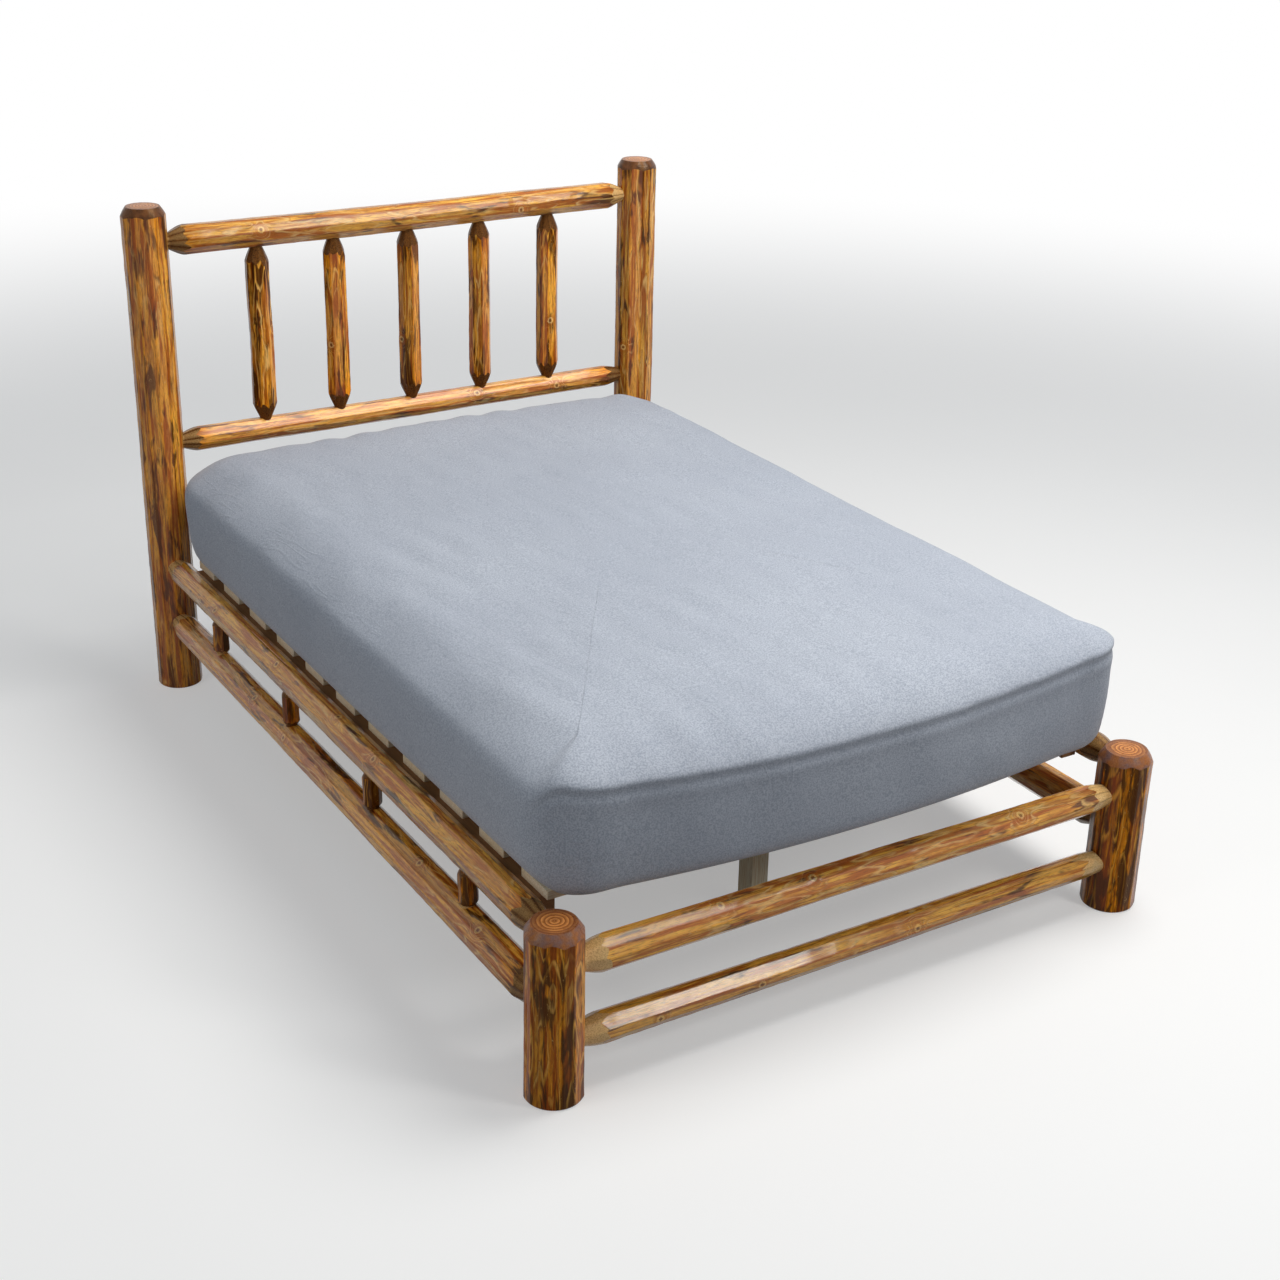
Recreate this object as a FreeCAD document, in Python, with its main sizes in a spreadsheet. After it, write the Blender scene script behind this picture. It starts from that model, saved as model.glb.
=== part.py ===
import FreeCAD, Part
import math
import os

import Sketcher
from FreeCAD import Placement, Rotation, Vector

# Rustic log bed, full size, in millimetres.
# +Z is up, +Y runs from the foot to the head, and the origin is on the floor
# under the middle of the bed.

document = FreeCAD.newDocument("rustic_log_bed")
sheet = document.addObject("Spreadsheet::Sheet", "Sizes")

SIZES = [
    ("Posts", [
        ("post_span_across", 1355),
        ("post_span_along", 1997),
        ("head_post_height", 1230),
        ("foot_post_height", 365),
        ("head_post_butt_radius", 55),
        ("head_post_taper", 2),
        ("foot_post_butt_radius", 57),
        ("foot_post_taper", 1),
        ("post_chamfer_inset", 12),
        ("post_chamfer_drop", 20),
    ]),
    ("Rails between the posts, heights to the middle of the log", [
        ("head_top_rail_height", 1140),
        ("head_top_rail_butt_radius", 35),
        ("head_top_rail_taper", 2),
        ("head_lower_rail_height", 643),
        ("head_lower_rail_butt_radius", 30),
        ("head_lower_rail_taper", 2.5),
        ("foot_upper_rail_height", 269),
        ("foot_upper_rail_butt_radius", 35),
        ("foot_upper_rail_taper", 4),
        ("foot_lower_rail_height", 109),
        ("foot_lower_rail_butt_radius", 32),
        ("foot_lower_rail_taper", 4.5),
        ("side_upper_rail_height", 329),
        ("side_upper_rail_butt_radius", 32.5),
        ("side_upper_rail_taper", 1.5),
        ("side_lower_rail_height", 181),
        ("side_lower_rail_butt_radius", 37),
        ("side_lower_rail_taper", 4),
    ]),
    ("Tenons and the cones behind them", [
        ("head_rail_tenon_radius", 19),
        ("head_rail_cone_length", 36),
        ("bed_rail_tenon_radius", 24),
        ("bed_rail_cone_length", 38),
        ("rail_tenon_depth", 45),
        ("tenon_slack", 0.2),
        ("tenon_end_gap", 1.5),
        ("cut_overrun", 6),
    ]),
    ("Spindles", [
        ("head_spindle_pitch", 202),
        ("head_spindle_butt_radius", 29.5),
        ("head_spindle_taper", 1.5),
        ("head_spindle_tenon_radius", 15),
        ("head_spindle_tenon_depth", 22),
        ("head_spindle_cone_length", 34),
        ("side_spindle_pitch", 440),
        ("side_spindle_butt_radius", 20),
        ("side_spindle_taper", 1),
        ("side_spindle_tenon_radius", 13),
        ("side_spindle_tenon_depth", 18),
        ("side_spindle_cone_length", 9),
    ]),
    ("Slats, cleats and the middle support", [
        ("slat_pitch", 170),
        ("slat_width", 100),
        ("slat_thickness", 19),
        ("slat_base_height", 342),
        ("slat_end_gap", 12),
        ("cleat_seat_depth", 28),
        ("cleat_width", 38),
        ("cleat_height", 38),
        ("cleat_end_gap", 60),
        ("beam_width", 89),
        ("beam_thickness", 38),
        ("beam_end_inset", 11),
        ("leg_width", 40),
        ("leg_depth", 50),
        ("leg_pitch", 640),
    ]),
    ("Mattress and fitted sheet", [
        ("mattress_width", 1372),
        ("mattress_length", 1956),
        ("mattress_foot_swell", 42),
        ("mattress_edge_height", 278),
        ("mattress_crown", 14),
        ("mattress_corner_radius", 155),
        ("mattress_top_roll", 118),
        ("mattress_bottom_roll", 72),
        ("mattress_draw_in", 8),
        ("mattress_crown_inset", 230),
        ("mattress_head_gap", 8),
        ("sheet_thickness", 1.2),
        ("sheet_hem_width", 150),
        ("soft_gap", 0.3),
    ]),
    ("Screws", [
        ("screw_head_radius", 4.5),
        ("screw_head_depth", 3),
        ("screw_shank_radius", 2.3),
        ("slat_screw_length", 42),
        ("cleat_screw_length", 62),
        ("leg_screw_length", 78),
        ("leg_screw_spacing", 22),
    ]),
]

HEAD_SPINDLES = 5
SIDE_SPINDLES = 4
SLATS = 11
LEGS = 3
CLEAT_SCREWS = 6
LEG_SCREWS = 2


# A length that keeps its value together with the formula it comes from, so
# that one sum both places a point and ties it to the sheet.
class Length:
    def __init__(self, value, text):
        self.value = float(value)
        self.text = text

    def __add__(self, other):
        other = length(other)
        return Length(self.value + other.value, f"({self.text} + {other.text})")

    def __sub__(self, other):
        other = length(other)
        return Length(self.value - other.value, f"({self.text} - {other.text})")

    def __mul__(self, other):
        other = length(other)
        return Length(self.value * other.value, f"({self.text} * {other.text})")

    def __truediv__(self, other):
        other = length(other)
        return Length(self.value / other.value, f"({self.text} / {other.text})")

    def __neg__(self):
        return Length(-self.value, f"(-1 * {self.text})")

    __radd__ = __add__
    __rmul__ = __mul__


def length(number):
    if isinstance(number, Length):
        return number
    return Length(number, f"({number:.6f})")


# The sheet: one row for each size, with the size's name beside it as its alias.
class Sizes:
    pass


size = Sizes()
row = 1
for heading, entries in SIZES:
    sheet.set(f"A{row}", heading)
    row += 1
    for alias, number in entries:
        sheet.set(f"A{row}", alias.replace("_", " "))
        sheet.set(f"B{row}", str(number))
        sheet.setAlias(f"B{row}", alias)
        row += 1
document.recompute()
for heading, entries in SIZES:
    for alias, number in entries:
        setattr(size, alias, Length(getattr(sheet, alias), f"Sizes.{alias}"))

ZERO = length(0)
FULL_TURN = 360
QUARTER_TURN = 90
UP = Vector(0, 0, 1)
RAIL_FLATS = 12
SPINDLE_FLATS = 8
SPINDLE_ROLL = 37
SCREW_SIDES = 6
# The screws through a cleat are spaced as a share of the slats' spacing, so
# that they pass between the ones that come down through the slats.
CLEAT_SCREW_PITCH_SHARE = 1.8

# Hewn facets around a log: the direction that each faces, in degrees, and its
# distance from the middle as a share of the log's radius. On posts and rails
# the four that face along the axes are at the full radius, because tenons and
# boards seat there.
FACET_SHARES = {
    "post": [(0, 1), (29, 0.975), (62, 0.985), (90, 1), (117, 0.98), (151, 0.97),
             (180, 1), (212, 0.985), (239, 0.97), (270, 1), (299, 0.98), (333, 0.975)],
    "stout": [(0, 1), (34, 0.96), (61, 0.985), (90, 1), (133, 0.95),
              (180, 1), (208, 0.97), (241, 0.965), (270, 1), (318, 0.955)],
    "slim": [(0, 1), (47, 0.95), (90, 1), (121, 0.97), (150, 0.975),
             (180, 1), (227, 0.955), (270, 1), (303, 0.96), (331, 0.98)],
    "spindle": [(0, 1), (38, 0.965), (81, 0.98), (122, 0.96),
                (171, 0.985), (214, 0.96), (262, 0.975), (313, 0.96)],
}
# Cuts at a log's ends start this far out, as a share of its radius, to clear its corners.
CLEAR_SHARE = 1.25
# A face of a blank counts as a hewn side where its normal is flatter than this.
SIDE_FACE_LIMIT = 0.5


def facet_corners(name):
    facets = FACET_SHARES[name]
    corners = []
    for (turn_a, depth_a), (turn_b, depth_b) in zip(facets, facets[1:] + facets[:1]):
        a = math.radians(turn_a)
        b = math.radians(turn_b)
        x = (depth_a * math.sin(b) - depth_b * math.sin(a)) / math.sin(b - a)
        y = (depth_b * math.cos(a) - depth_a * math.cos(b)) / math.sin(b - a)
        corners.append((x, y))
    return corners


# The radius of a log at its butt and at its tip.
def ends_of(log):
    butt = getattr(size, log + "_butt_radius")
    return butt, butt - getattr(size, log + "_taper")


def origin_item(body, role):
    return [item for item in body.Origin.OriginFeatures if item.Role == role][0]


# Sketches

def sketch_on(body, name, role, lift=ZERO, roll=0):
    sketch = body.newObject("Sketcher::SketchObject", name)
    sketch.AttachmentSupport = [(origin_item(body, role), "")]
    sketch.MapMode = "FlatFace"
    sketch.AttachmentOffset = Placement(Vector(0, 0, 0), Rotation(Vector(0, 0, 1), roll))
    sketch.setExpression("AttachmentOffset.Base.z", lift.text)
    return sketch


def hold_point(sketch, geometry, point, x, y):
    for kind, place in (("DistanceX", x), ("DistanceY", y)):
        held = Sketcher.Constraint(kind, -1, 1, geometry, point, place.value)
        index = sketch.addConstraint(held)
        sketch.setExpression(f"Constraints[{index}]", place.text)


def hold_radius(sketch, geometry, radius):
    index = sketch.addConstraint(Sketcher.Constraint("Radius", geometry, radius.value))
    sketch.setExpression(f"Constraints[{index}]", radius.text)


def draw_outline(sketch, corners):
    count = len(corners)
    lines = []
    for index, (x, y) in enumerate(corners):
        next_x, next_y = corners[(index + 1) % count]
        start = Vector(x.value, y.value, 0)
        end = Vector(next_x.value, next_y.value, 0)
        lines.append(sketch.addGeometry(Part.LineSegment(start, end)))
    for line, following in zip(lines, lines[1:] + lines[:1]):
        sketch.addConstraint(Sketcher.Constraint("Coincident", line, 2, following, 1))
    for line, (x, y) in zip(lines, corners):
        hold_point(sketch, line, 1, x, y)


# A regular polygon whose flat sides are at the given radius.
def draw_even_polygon(sketch, x, y, radius, sides):
    corners = []
    step = math.radians(FULL_TURN) / sides
    for number in range(sides):
        turn = step * (number + 0.5)
        reach = radius / math.cos(step / 2)
        corners.append((x + reach * math.cos(turn), y + reach * math.sin(turn)))
    draw_outline(sketch, corners)


def draw_rectangle(sketch, low_x, high_x, low_y, high_y):
    draw_outline(sketch, [(low_x, low_y), (high_x, low_y), (high_x, high_y), (low_x, high_y)])


# A rectangle with round corners. With a swell, its side towards -Y bows out
# by that much in an arc.
def draw_rounded_rectangle(sketch, half_x, half_y, radius, swell=None):
    turns = [(1, 1), (-1, 1), (-1, -1), (1, -1)]
    for number, (side_x, side_y) in enumerate(turns):
        middle = Vector(side_x * (half_x - radius).value, side_y * (half_y - radius).value, 0)
        circle = Part.Circle(middle, Vector(0, 0, 1), radius.value)
        start = math.radians(QUARTER_TURN * number)
        sketch.addGeometry(Part.ArcOfCircle(circle, start, start + math.radians(QUARTER_TURN)))
    for number, (side_x, side_y) in enumerate(turns):
        next_x, next_y = turns[(number + 1) % 4]
        if side_y == next_y:
            begin = (side_x * (half_x - radius), side_y * half_y)
            finish = (next_x * (half_x - radius), next_y * half_y)
        else:
            begin = (side_x * half_x, side_y * (half_y - radius))
            finish = (next_x * half_x, next_y * (half_y - radius))
        start = Vector(begin[0].value, begin[1].value, 0)
        end = Vector(finish[0].value, finish[1].value, 0)
        bowed = swell is not None and side_y < 0 and next_y < 0
        if bowed:
            middle = Vector(0, -(half_y + swell).value, 0)
            line = sketch.addGeometry(Part.Arc(start, middle, end))
        else:
            line = sketch.addGeometry(Part.LineSegment(start, end))
        hold_point(sketch, line, 1, *begin)
        hold_point(sketch, line, 2, *finish)
        if bowed:
            half_chord = half_x - radius
            hold_radius(sketch, line, (half_chord * half_chord + swell * swell) / (2 * swell))
        sketch.addConstraint(Sketcher.Constraint("Coincident", number, 2, line, 1))
        sketch.addConstraint(Sketcher.Constraint("Coincident", (number + 1) % 4, 1, line, 2))
        hold_radius(sketch, number, radius)


# Features of a body

def start_body(label):
    body = document.addObject("PartDesign::Body", label)
    body.Label = label
    return body


def place(item, x, y, z, rotation=Rotation()):
    item.Placement = Placement(Vector(0, 0, 0), rotation)
    for axis, distance in (("x", x), ("y", y), ("z", z)):
        item.setExpression(f"Placement.Base.{axis}", distance.text)


def must_cut(body, feature, volume_before):
    document.recompute()
    if not feature.Shape.Volume < volume_before:
        raise RuntimeError(f"{body.Label}: {feature.Name} cuts nothing")


def cut_pocket(body, name, sketch, depth, along_normal):
    document.recompute()
    volume = body.Shape.Volume
    pocket = body.newObject("PartDesign::Pocket", name)
    pocket.Profile = sketch
    pocket.Type = "Length"
    pocket.Reversed = along_normal
    pocket.setExpression("Length", depth.text)
    must_cut(body, pocket, volume)


def turn_down(body, name, corners):
    document.recompute()
    volume = body.Shape.Volume
    sketch = sketch_on(body, name + "_profile", "XZ_Plane")
    draw_outline(sketch, corners)
    groove = body.newObject("PartDesign::Groove", name)
    groove.Profile = sketch
    groove.ReferenceAxis = (sketch, ["V_Axis"])
    groove.Angle = FULL_TURN
    must_cut(body, groove, volume)


# Logs

def radius_along(butt, tip, whole, distance):
    return butt + (tip - butt) * distance / whole


# A log is hewn flat all round and drawn in evenly from its butt to its tip.
def hewn_log(label, whole, butt, tip, facets, roll=0):
    body = start_body(label)
    sketch = sketch_on(body, label + "_butt", "XY_Plane", ZERO, roll)
    draw_outline(sketch, [(butt * x, butt * y) for x, y in facet_corners(facets)])
    blank = body.newObject("PartDesign::Pad", label + "_blank")
    blank.Profile = sketch
    blank.Type = "Length"
    blank.setExpression("Length", whole.text)
    document.recompute()
    sides = [
        f"Face{number + 1}" for number, face in enumerate(blank.Shape.Faces)
        if abs(face.normalAt(0, 0).dot(UP)) < SIDE_FACE_LIMIT
    ]
    taper = body.newObject("PartDesign::Draft", label + "_taper")
    taper.Base = (blank, sides)
    taper.NeutralPlane = (origin_item(body, "XY_Plane"), [""])
    taper.setExpression("Angle", f"atan({((butt - tip) / whole).text})")
    document.recompute()
    return body


# The end of a log is whittled down to a cone and a tenon, both with the same
# number of flats: one flat is cut, and then repeated around the log. start is
# where the log ends, and side is 1 where the log runs up from there, else -1.
def whittle_end(body, name, start, side, tenon_radius, tenon_length, cone_length, log_radius, sides):
    outside = log_radius * CLEAR_SHARE
    rise = cone_length * (outside - tenon_radius) / (log_radius - tenon_radius)
    shoulder = start + side * tenon_length
    edge = start - side * size.cut_overrun
    document.recompute()
    volume = body.Shape.Volume
    sketch = sketch_on(body, name + "_profile", "XZ_Plane")
    draw_outline(sketch, [
        (tenon_radius, edge),
        (outside, edge),
        (outside, shoulder + side * rise),
        (tenon_radius, shoulder),
    ])
    flat = body.newObject("PartDesign::Pocket", name + "_flat")
    flat.Profile = sketch
    flat.Type = "Length"
    flat.Midplane = True
    flat.setExpression("Length", (outside * 2).text)
    must_cut(body, flat, volume)
    volume = flat.Shape.Volume
    flats = body.newObject("PartDesign::PolarPattern", name + "_flats")
    flats.Originals = [flat]
    flats.Axis = (origin_item(body, "Z_Axis"), [""])
    flats.Angle = FULL_TURN
    flats.Occurrences = sides
    body.Tip = flats
    must_cut(body, flats, volume)


# Mortises sunk from the surface of a log, with the flats of the tenons that
# they hold. places holds where each one is along the log and how far its flats
# are from its middle; floor is how far its bottom is from the log's middle.
def sink_mortises(body, name, role, along_normal, floor, places, reach, sides):
    side = 1 if along_normal else -1
    sketch = sketch_on(body, name + "_outlines", role, side * floor)
    for distance, radius in places:
        draw_even_polygon(sketch, ZERO, distance, radius, sides)
    cut_pocket(body, name, sketch, reach, along_normal)


def mortise(tenon_radius):
    return tenon_radius + size.tenon_slack


post_x = size.post_span_across / 2
# The bed's ends lie equally far from the origin, though the posts differ.
post_shift = (size.foot_post_butt_radius - size.head_post_butt_radius) / 2
head_y = size.post_span_along / 2 + post_shift
foot_y = post_shift - size.post_span_along / 2
ALONG_X = Rotation(Vector(0, 1, 0), QUARTER_TURN)
ALONG_Y = Rotation(Vector(1, 0, 0), -QUARTER_TURN)


def post(label, side, at_head):
    if at_head:
        whole = size.head_post_height
        butt, tip = ends_of("head_post")
        cross_rails = [
            (size.head_top_rail_height, mortise(size.head_rail_tenon_radius)),
            (size.head_lower_rail_height, mortise(size.head_rail_tenon_radius)),
        ]
        centre_y = head_y
    else:
        whole = size.foot_post_height
        butt, tip = ends_of("foot_post")
        cross_rails = [
            (size.foot_upper_rail_height, mortise(size.bed_rail_tenon_radius)),
            (size.foot_lower_rail_height, mortise(size.bed_rail_tenon_radius)),
        ]
        centre_y = foot_y
    side_rails = [
        (size.side_upper_rail_height, mortise(size.bed_rail_tenon_radius)),
        (size.side_lower_rail_height, mortise(size.bed_rail_tenon_radius)),
    ]
    body = hewn_log(label, whole, butt, tip, "post")
    floor = tip - size.rail_tenon_depth
    reach = size.rail_tenon_depth + butt - tip + size.cut_overrun
    sink_mortises(body, label + "_cross", "YZ_Plane", side < 0, floor, cross_rails, reach, RAIL_FLATS)
    sink_mortises(body, label + "_side", "XZ_Plane", at_head, floor, side_rails, reach, RAIL_FLATS)
    outside = tip * CLEAR_SHARE
    flat = tip - size.post_chamfer_inset
    fall = size.post_chamfer_drop * (outside - flat) / size.post_chamfer_inset
    turn_down(body, label + "_chamfer", [
        (flat, whole),
        (flat, whole + size.cut_overrun),
        (outside, whole + size.cut_overrun),
        (outside, whole - fall),
    ])
    place(body, side * post_x, centre_y, ZERO)


for side_name, side in (("left", -1), ("right", 1)):
    post(f"head_post_{side_name}", side, True)
    post(f"foot_post_{side_name}", side, False)


# How far the surface and the mortise floor of a post are from its middle, at
# the height of a rail.
def post_surface(at_head, height):
    if at_head:
        return radius_along(*ends_of("head_post"), size.head_post_height, height)
    return radius_along(*ends_of("foot_post"), size.foot_post_height, height)


def tenon_end(at_head):
    tip = ends_of("head_post" if at_head else "foot_post")[1]
    return tip - size.rail_tenon_depth + size.tenon_end_gap


def spread(count, pitch):
    return [pitch * (number - (count - 1) / 2) for number in range(count)]


# Rails across the bed. The butt end is on the left.

def cross_rail(label, at_head, log, facets):
    height = getattr(size, log + "_height")
    butt, tip = ends_of(log)
    end = tenon_end(at_head)
    whole = size.post_span_across - 2 * end
    tenon_length = post_surface(at_head, height) - end
    tenon_radius = size.head_rail_tenon_radius if at_head else size.bed_rail_tenon_radius
    cone_length = size.head_rail_cone_length if at_head else size.bed_rail_cone_length
    body = hewn_log(label, whole, butt, tip, facets)
    whittle_end(body, label + "_butt_end", ZERO, 1, tenon_radius, tenon_length, cone_length,
                butt, RAIL_FLATS)
    whittle_end(body, label + "_tip_end", whole, -1, tenon_radius, tenon_length, cone_length,
                tip, RAIL_FLATS)
    place(body, end - post_x, head_y if at_head else foot_y, height, ALONG_X)
    return body


head_rail_top = cross_rail("head_rail_top", True, "head_top_rail", "stout")
head_rail_lower = cross_rail("head_rail_lower", True, "head_lower_rail", "slim")
cross_rail("foot_rail_upper", False, "foot_upper_rail", "stout")
cross_rail("foot_rail_lower", False, "foot_lower_rail", "slim")

# Spindles stand between the two rails of the head. Each is cut to the space
# between the rails' surfaces at its own place, because the rails taper.

head_rail_length = size.post_span_across - 2 * tenon_end(True)
head_spindle_places = spread(HEAD_SPINDLES, size.head_spindle_pitch)
head_top_butt, head_top_tip = ends_of("head_top_rail")
head_lower_butt, head_lower_tip = ends_of("head_lower_rail")
head_top_floor = head_top_tip - size.head_spindle_tenon_depth
head_lower_floor = head_lower_tip - size.head_spindle_tenon_depth
head_mortises = [
    (head_rail_length / 2 + distance, mortise(size.head_spindle_tenon_radius))
    for distance in head_spindle_places
]
sink_mortises(head_rail_top, "head_rail_top_mortises", "YZ_Plane", True, head_top_floor,
              head_mortises, head_top_butt, SPINDLE_FLATS)
sink_mortises(head_rail_lower, "head_rail_lower_mortises", "YZ_Plane", False, head_lower_floor,
              head_mortises, head_lower_butt, SPINDLE_FLATS)


# low and high each hold the height of a rail's middle, and how far the floor
# of its mortise and its surface are from there.
def spindle(label, x, y, log, low, high, roll):
    low_height, low_floor, low_surface = low
    high_height, high_floor, high_surface = high
    butt, tip = ends_of(log)
    tenon_radius = getattr(size, log + "_tenon_radius")
    cone_length = getattr(size, log + "_cone_length")
    start = low_height + low_floor + size.tenon_end_gap
    whole = high_height - high_floor - size.tenon_end_gap - start
    low_tenon = low_surface - low_floor - size.tenon_end_gap
    high_tenon = high_surface - high_floor - size.tenon_end_gap
    body = hewn_log(label, whole, butt, tip, "spindle", roll)
    whittle_end(body, label + "_low_end", ZERO, 1, tenon_radius, low_tenon, cone_length,
                butt, SPINDLE_FLATS)
    whittle_end(body, label + "_high_end", whole, -1, tenon_radius, high_tenon, cone_length,
                tip, SPINDLE_FLATS)
    place(body, x, y, start)


for number, distance in enumerate(head_spindle_places):
    along = head_rail_length / 2 + distance
    low_surface = radius_along(head_lower_butt, head_lower_tip, head_rail_length, along)
    high_surface = radius_along(head_top_butt, head_top_tip, head_rail_length, along)
    spindle(f"head_spindle_{number + 1}", distance, head_y, "head_spindle",
            (size.head_lower_rail_height, head_lower_floor, low_surface),
            (size.head_top_rail_height, head_top_floor, high_surface), SPINDLE_ROLL * number)


# Side rails run from the foot post, where the butt end is, to the head post.
# The upper one has a flat cut along its inner face for the cleat.

side_start = foot_y + tenon_end(False)
side_length = size.post_span_along - tenon_end(True) - tenon_end(False)
side_middle = side_length / 2 + (tenon_end(True) - tenon_end(False)) / 2 - post_shift
side_spindle_places = spread(SIDE_SPINDLES, size.side_spindle_pitch)
side_upper_butt, side_upper_tip = ends_of("side_upper_rail")
side_lower_butt, side_lower_tip = ends_of("side_lower_rail")
side_upper_floor = side_upper_tip - size.side_spindle_tenon_depth
side_lower_floor = side_lower_tip - size.side_spindle_tenon_depth
cleat_length = size.post_span_along - 2 * size.foot_post_butt_radius - 2 * size.cleat_end_gap
side_mortises = [
    (side_middle + distance, mortise(size.side_spindle_tenon_radius))
    for distance in side_spindle_places
]


def side_rail(label, side, log, facets, opens_down, floor):
    height = getattr(size, log + "_height")
    butt, tip = ends_of(log)
    foot_tenon = post_surface(False, height) - tenon_end(False)
    head_tenon = post_surface(True, height) - tenon_end(True)
    body = hewn_log(label, side_length, butt, tip, facets)
    whittle_end(body, label + "_foot_end", ZERO, 1, size.bed_rail_tenon_radius, foot_tenon,
                size.bed_rail_cone_length, butt, RAIL_FLATS)
    whittle_end(body, label + "_head_end", side_length, -1, size.bed_rail_tenon_radius, head_tenon,
                size.bed_rail_cone_length, tip, RAIL_FLATS)
    sink_mortises(body, label + "_mortises", "XZ_Plane", not opens_down, floor, side_mortises, butt,
                  SPINDLE_FLATS)
    place(body, side * post_x, side_start, height, ALONG_Y)
    return body


def cut_cleat_seat(body, side):
    sketch = sketch_on(body, body.Label + "_seat", "YZ_Plane", -side * size.cleat_seat_depth)
    draw_rectangle(sketch, -side_upper_butt, side_upper_butt,
                   side_middle - cleat_length / 2, side_middle + cleat_length / 2)
    cut_pocket(body, body.Label + "_cleat_seat", sketch, side_upper_butt, side < 0)


for side_name, side in (("left", -1), ("right", 1)):
    upper = side_rail(f"side_rail_upper_{side_name}", side, "side_upper_rail", "slim",
                      True, side_upper_floor)
    cut_cleat_seat(upper, side)
    side_rail(f"side_rail_lower_{side_name}", side, "side_lower_rail", "stout",
              False, side_lower_floor)
    for number, distance in enumerate(side_spindle_places):
        along = side_middle + distance
        low_surface = radius_along(side_lower_butt, side_lower_tip, side_length, along)
        high_surface = radius_along(side_upper_butt, side_upper_tip, side_length, along)
        spindle(f"side_spindle_{side_name}_{number + 1}", side * post_x, distance, "side_spindle",
                (size.side_lower_rail_height, side_lower_floor, low_surface),
                (size.side_upper_rail_height, side_upper_floor, high_surface),
                SPINDLE_ROLL * (number + side))


# Boards: cleats, slats, the middle beam and its legs

def board(label, x, y, z, wide, deep, high):
    box = document.addObject("Part::Box", label)
    box.Label = label
    box.setExpression("Length", wide.text)
    box.setExpression("Width", deep.text)
    box.setExpression("Height", high.text)
    place(box, x - wide / 2, y - deep / 2, z)
    return box


cleat_face = post_x - size.cleat_seat_depth
cleat_x = cleat_face - size.cleat_width / 2
slat_places = spread(SLATS, size.slat_pitch)
leg_places = spread(LEGS, size.leg_pitch)
beam_base = size.slat_base_height - size.beam_thickness
beam_length = size.slat_pitch * (SLATS - 1) + size.slat_width - 2 * size.beam_end_inset

for side_name, side in (("left", -1), ("right", 1)):
    board(f"cleat_{side_name}", side * cleat_x, ZERO, size.slat_base_height - size.cleat_height,
          size.cleat_width, cleat_length, size.cleat_height)
for number, distance in enumerate(reversed(slat_places)):
    board(f"slat_{number + 1:02d}", ZERO, distance, size.slat_base_height,
          2 * (cleat_face - size.slat_end_gap), size.slat_width, size.slat_thickness)
board("centre_beam", ZERO, ZERO, beam_base, size.beam_width, beam_length, size.beam_thickness)
for name, distance in zip(("foot", "middle", "head"), leg_places):
    board(f"centre_leg_{name}", ZERO, distance, ZERO, size.leg_width, size.leg_depth, beam_base)

# Mattress: a crowned block with rolled edges, and a foot end that swells out
# between its corners. Each section gives its height and how far it is in from
# the widest outline.

mattress_x = size.mattress_width / 2
mattress_y = size.mattress_length / 2
mattress_centre = (head_y - size.head_lower_rail_butt_radius - size.mattress_head_gap
                   - mattress_y)
mattress_base = (size.slat_base_height + size.slat_thickness
                 + size.sheet_thickness + 2 * size.soft_gap)
BOTTOM_ROLL_STEPS = 2
TOP_ROLL_STEPS = 4
CROWN_INSET_SHARES = (0.5, 1)
CROWN_RISE_SHARES = (0.72, 1)


def mattress_sections():
    bottom = size.mattress_bottom_roll
    top = size.mattress_top_roll
    draw_in = size.mattress_draw_in
    sections = []
    for step in range(BOTTOM_ROLL_STEPS + 1):
        turn = math.radians(QUARTER_TURN) * step / BOTTOM_ROLL_STEPS
        sections.append((bottom * (1 - math.cos(turn)), draw_in + bottom * (1 - math.sin(turn))))
    sections.append((size.mattress_edge_height / 2, ZERO))
    for step in range(TOP_ROLL_STEPS + 1):
        turn = math.radians(QUARTER_TURN) * step / TOP_ROLL_STEPS
        height = size.mattress_edge_height - top * (1 - math.sin(turn))
        sections.append((height, draw_in / 2 + top * (1 - math.cos(turn))))
    for inset_share, rise_share in zip(CROWN_INSET_SHARES, CROWN_RISE_SHARES):
        height = size.mattress_edge_height + size.mattress_crown * rise_share
        sections.append((height, draw_in / 2 + top + size.mattress_crown_inset * inset_share))
    return sections


# The same block grown all round by an offset, for the mattress and the sheet.
def draw_mattress_block(body, name, grow):
    sections = mattress_sections()
    first_on_top = len(sections) - len(CROWN_INSET_SHARES) - 1
    sketches = []
    for number, (height, inset) in enumerate(sections):
        lift = height
        if number == 0:
            lift = height - grow
        elif number >= first_on_top:
            lift = height + grow
        sketch = sketch_on(body, f"{name}_{number:02d}", "XY_Plane", lift)
        half_x = mattress_x - inset + grow
        half_y = mattress_y - inset + grow
        draw_rounded_rectangle(sketch, half_x, half_y, size.mattress_corner_radius,
                               size.mattress_foot_swell)
        sketches.append(sketch)
    return sketches


def loft_between(body, name, profile, sections):
    loft = body.newObject("PartDesign::AdditiveLoft", name)
    loft.Profile = profile
    loft.Sections = sections
    loft.Ruled = True
    return loft


mattress = start_body("mattress")
mattress_outline = draw_mattress_block(mattress, "mattress_section", ZERO)
loft_between(mattress, "mattress_block", mattress_outline[0], mattress_outline[1:])
place(mattress, ZERO, mattress_centre, mattress_base)

# Fitted sheet: a thin skin over the mattress that turns under it in a hem.

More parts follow.
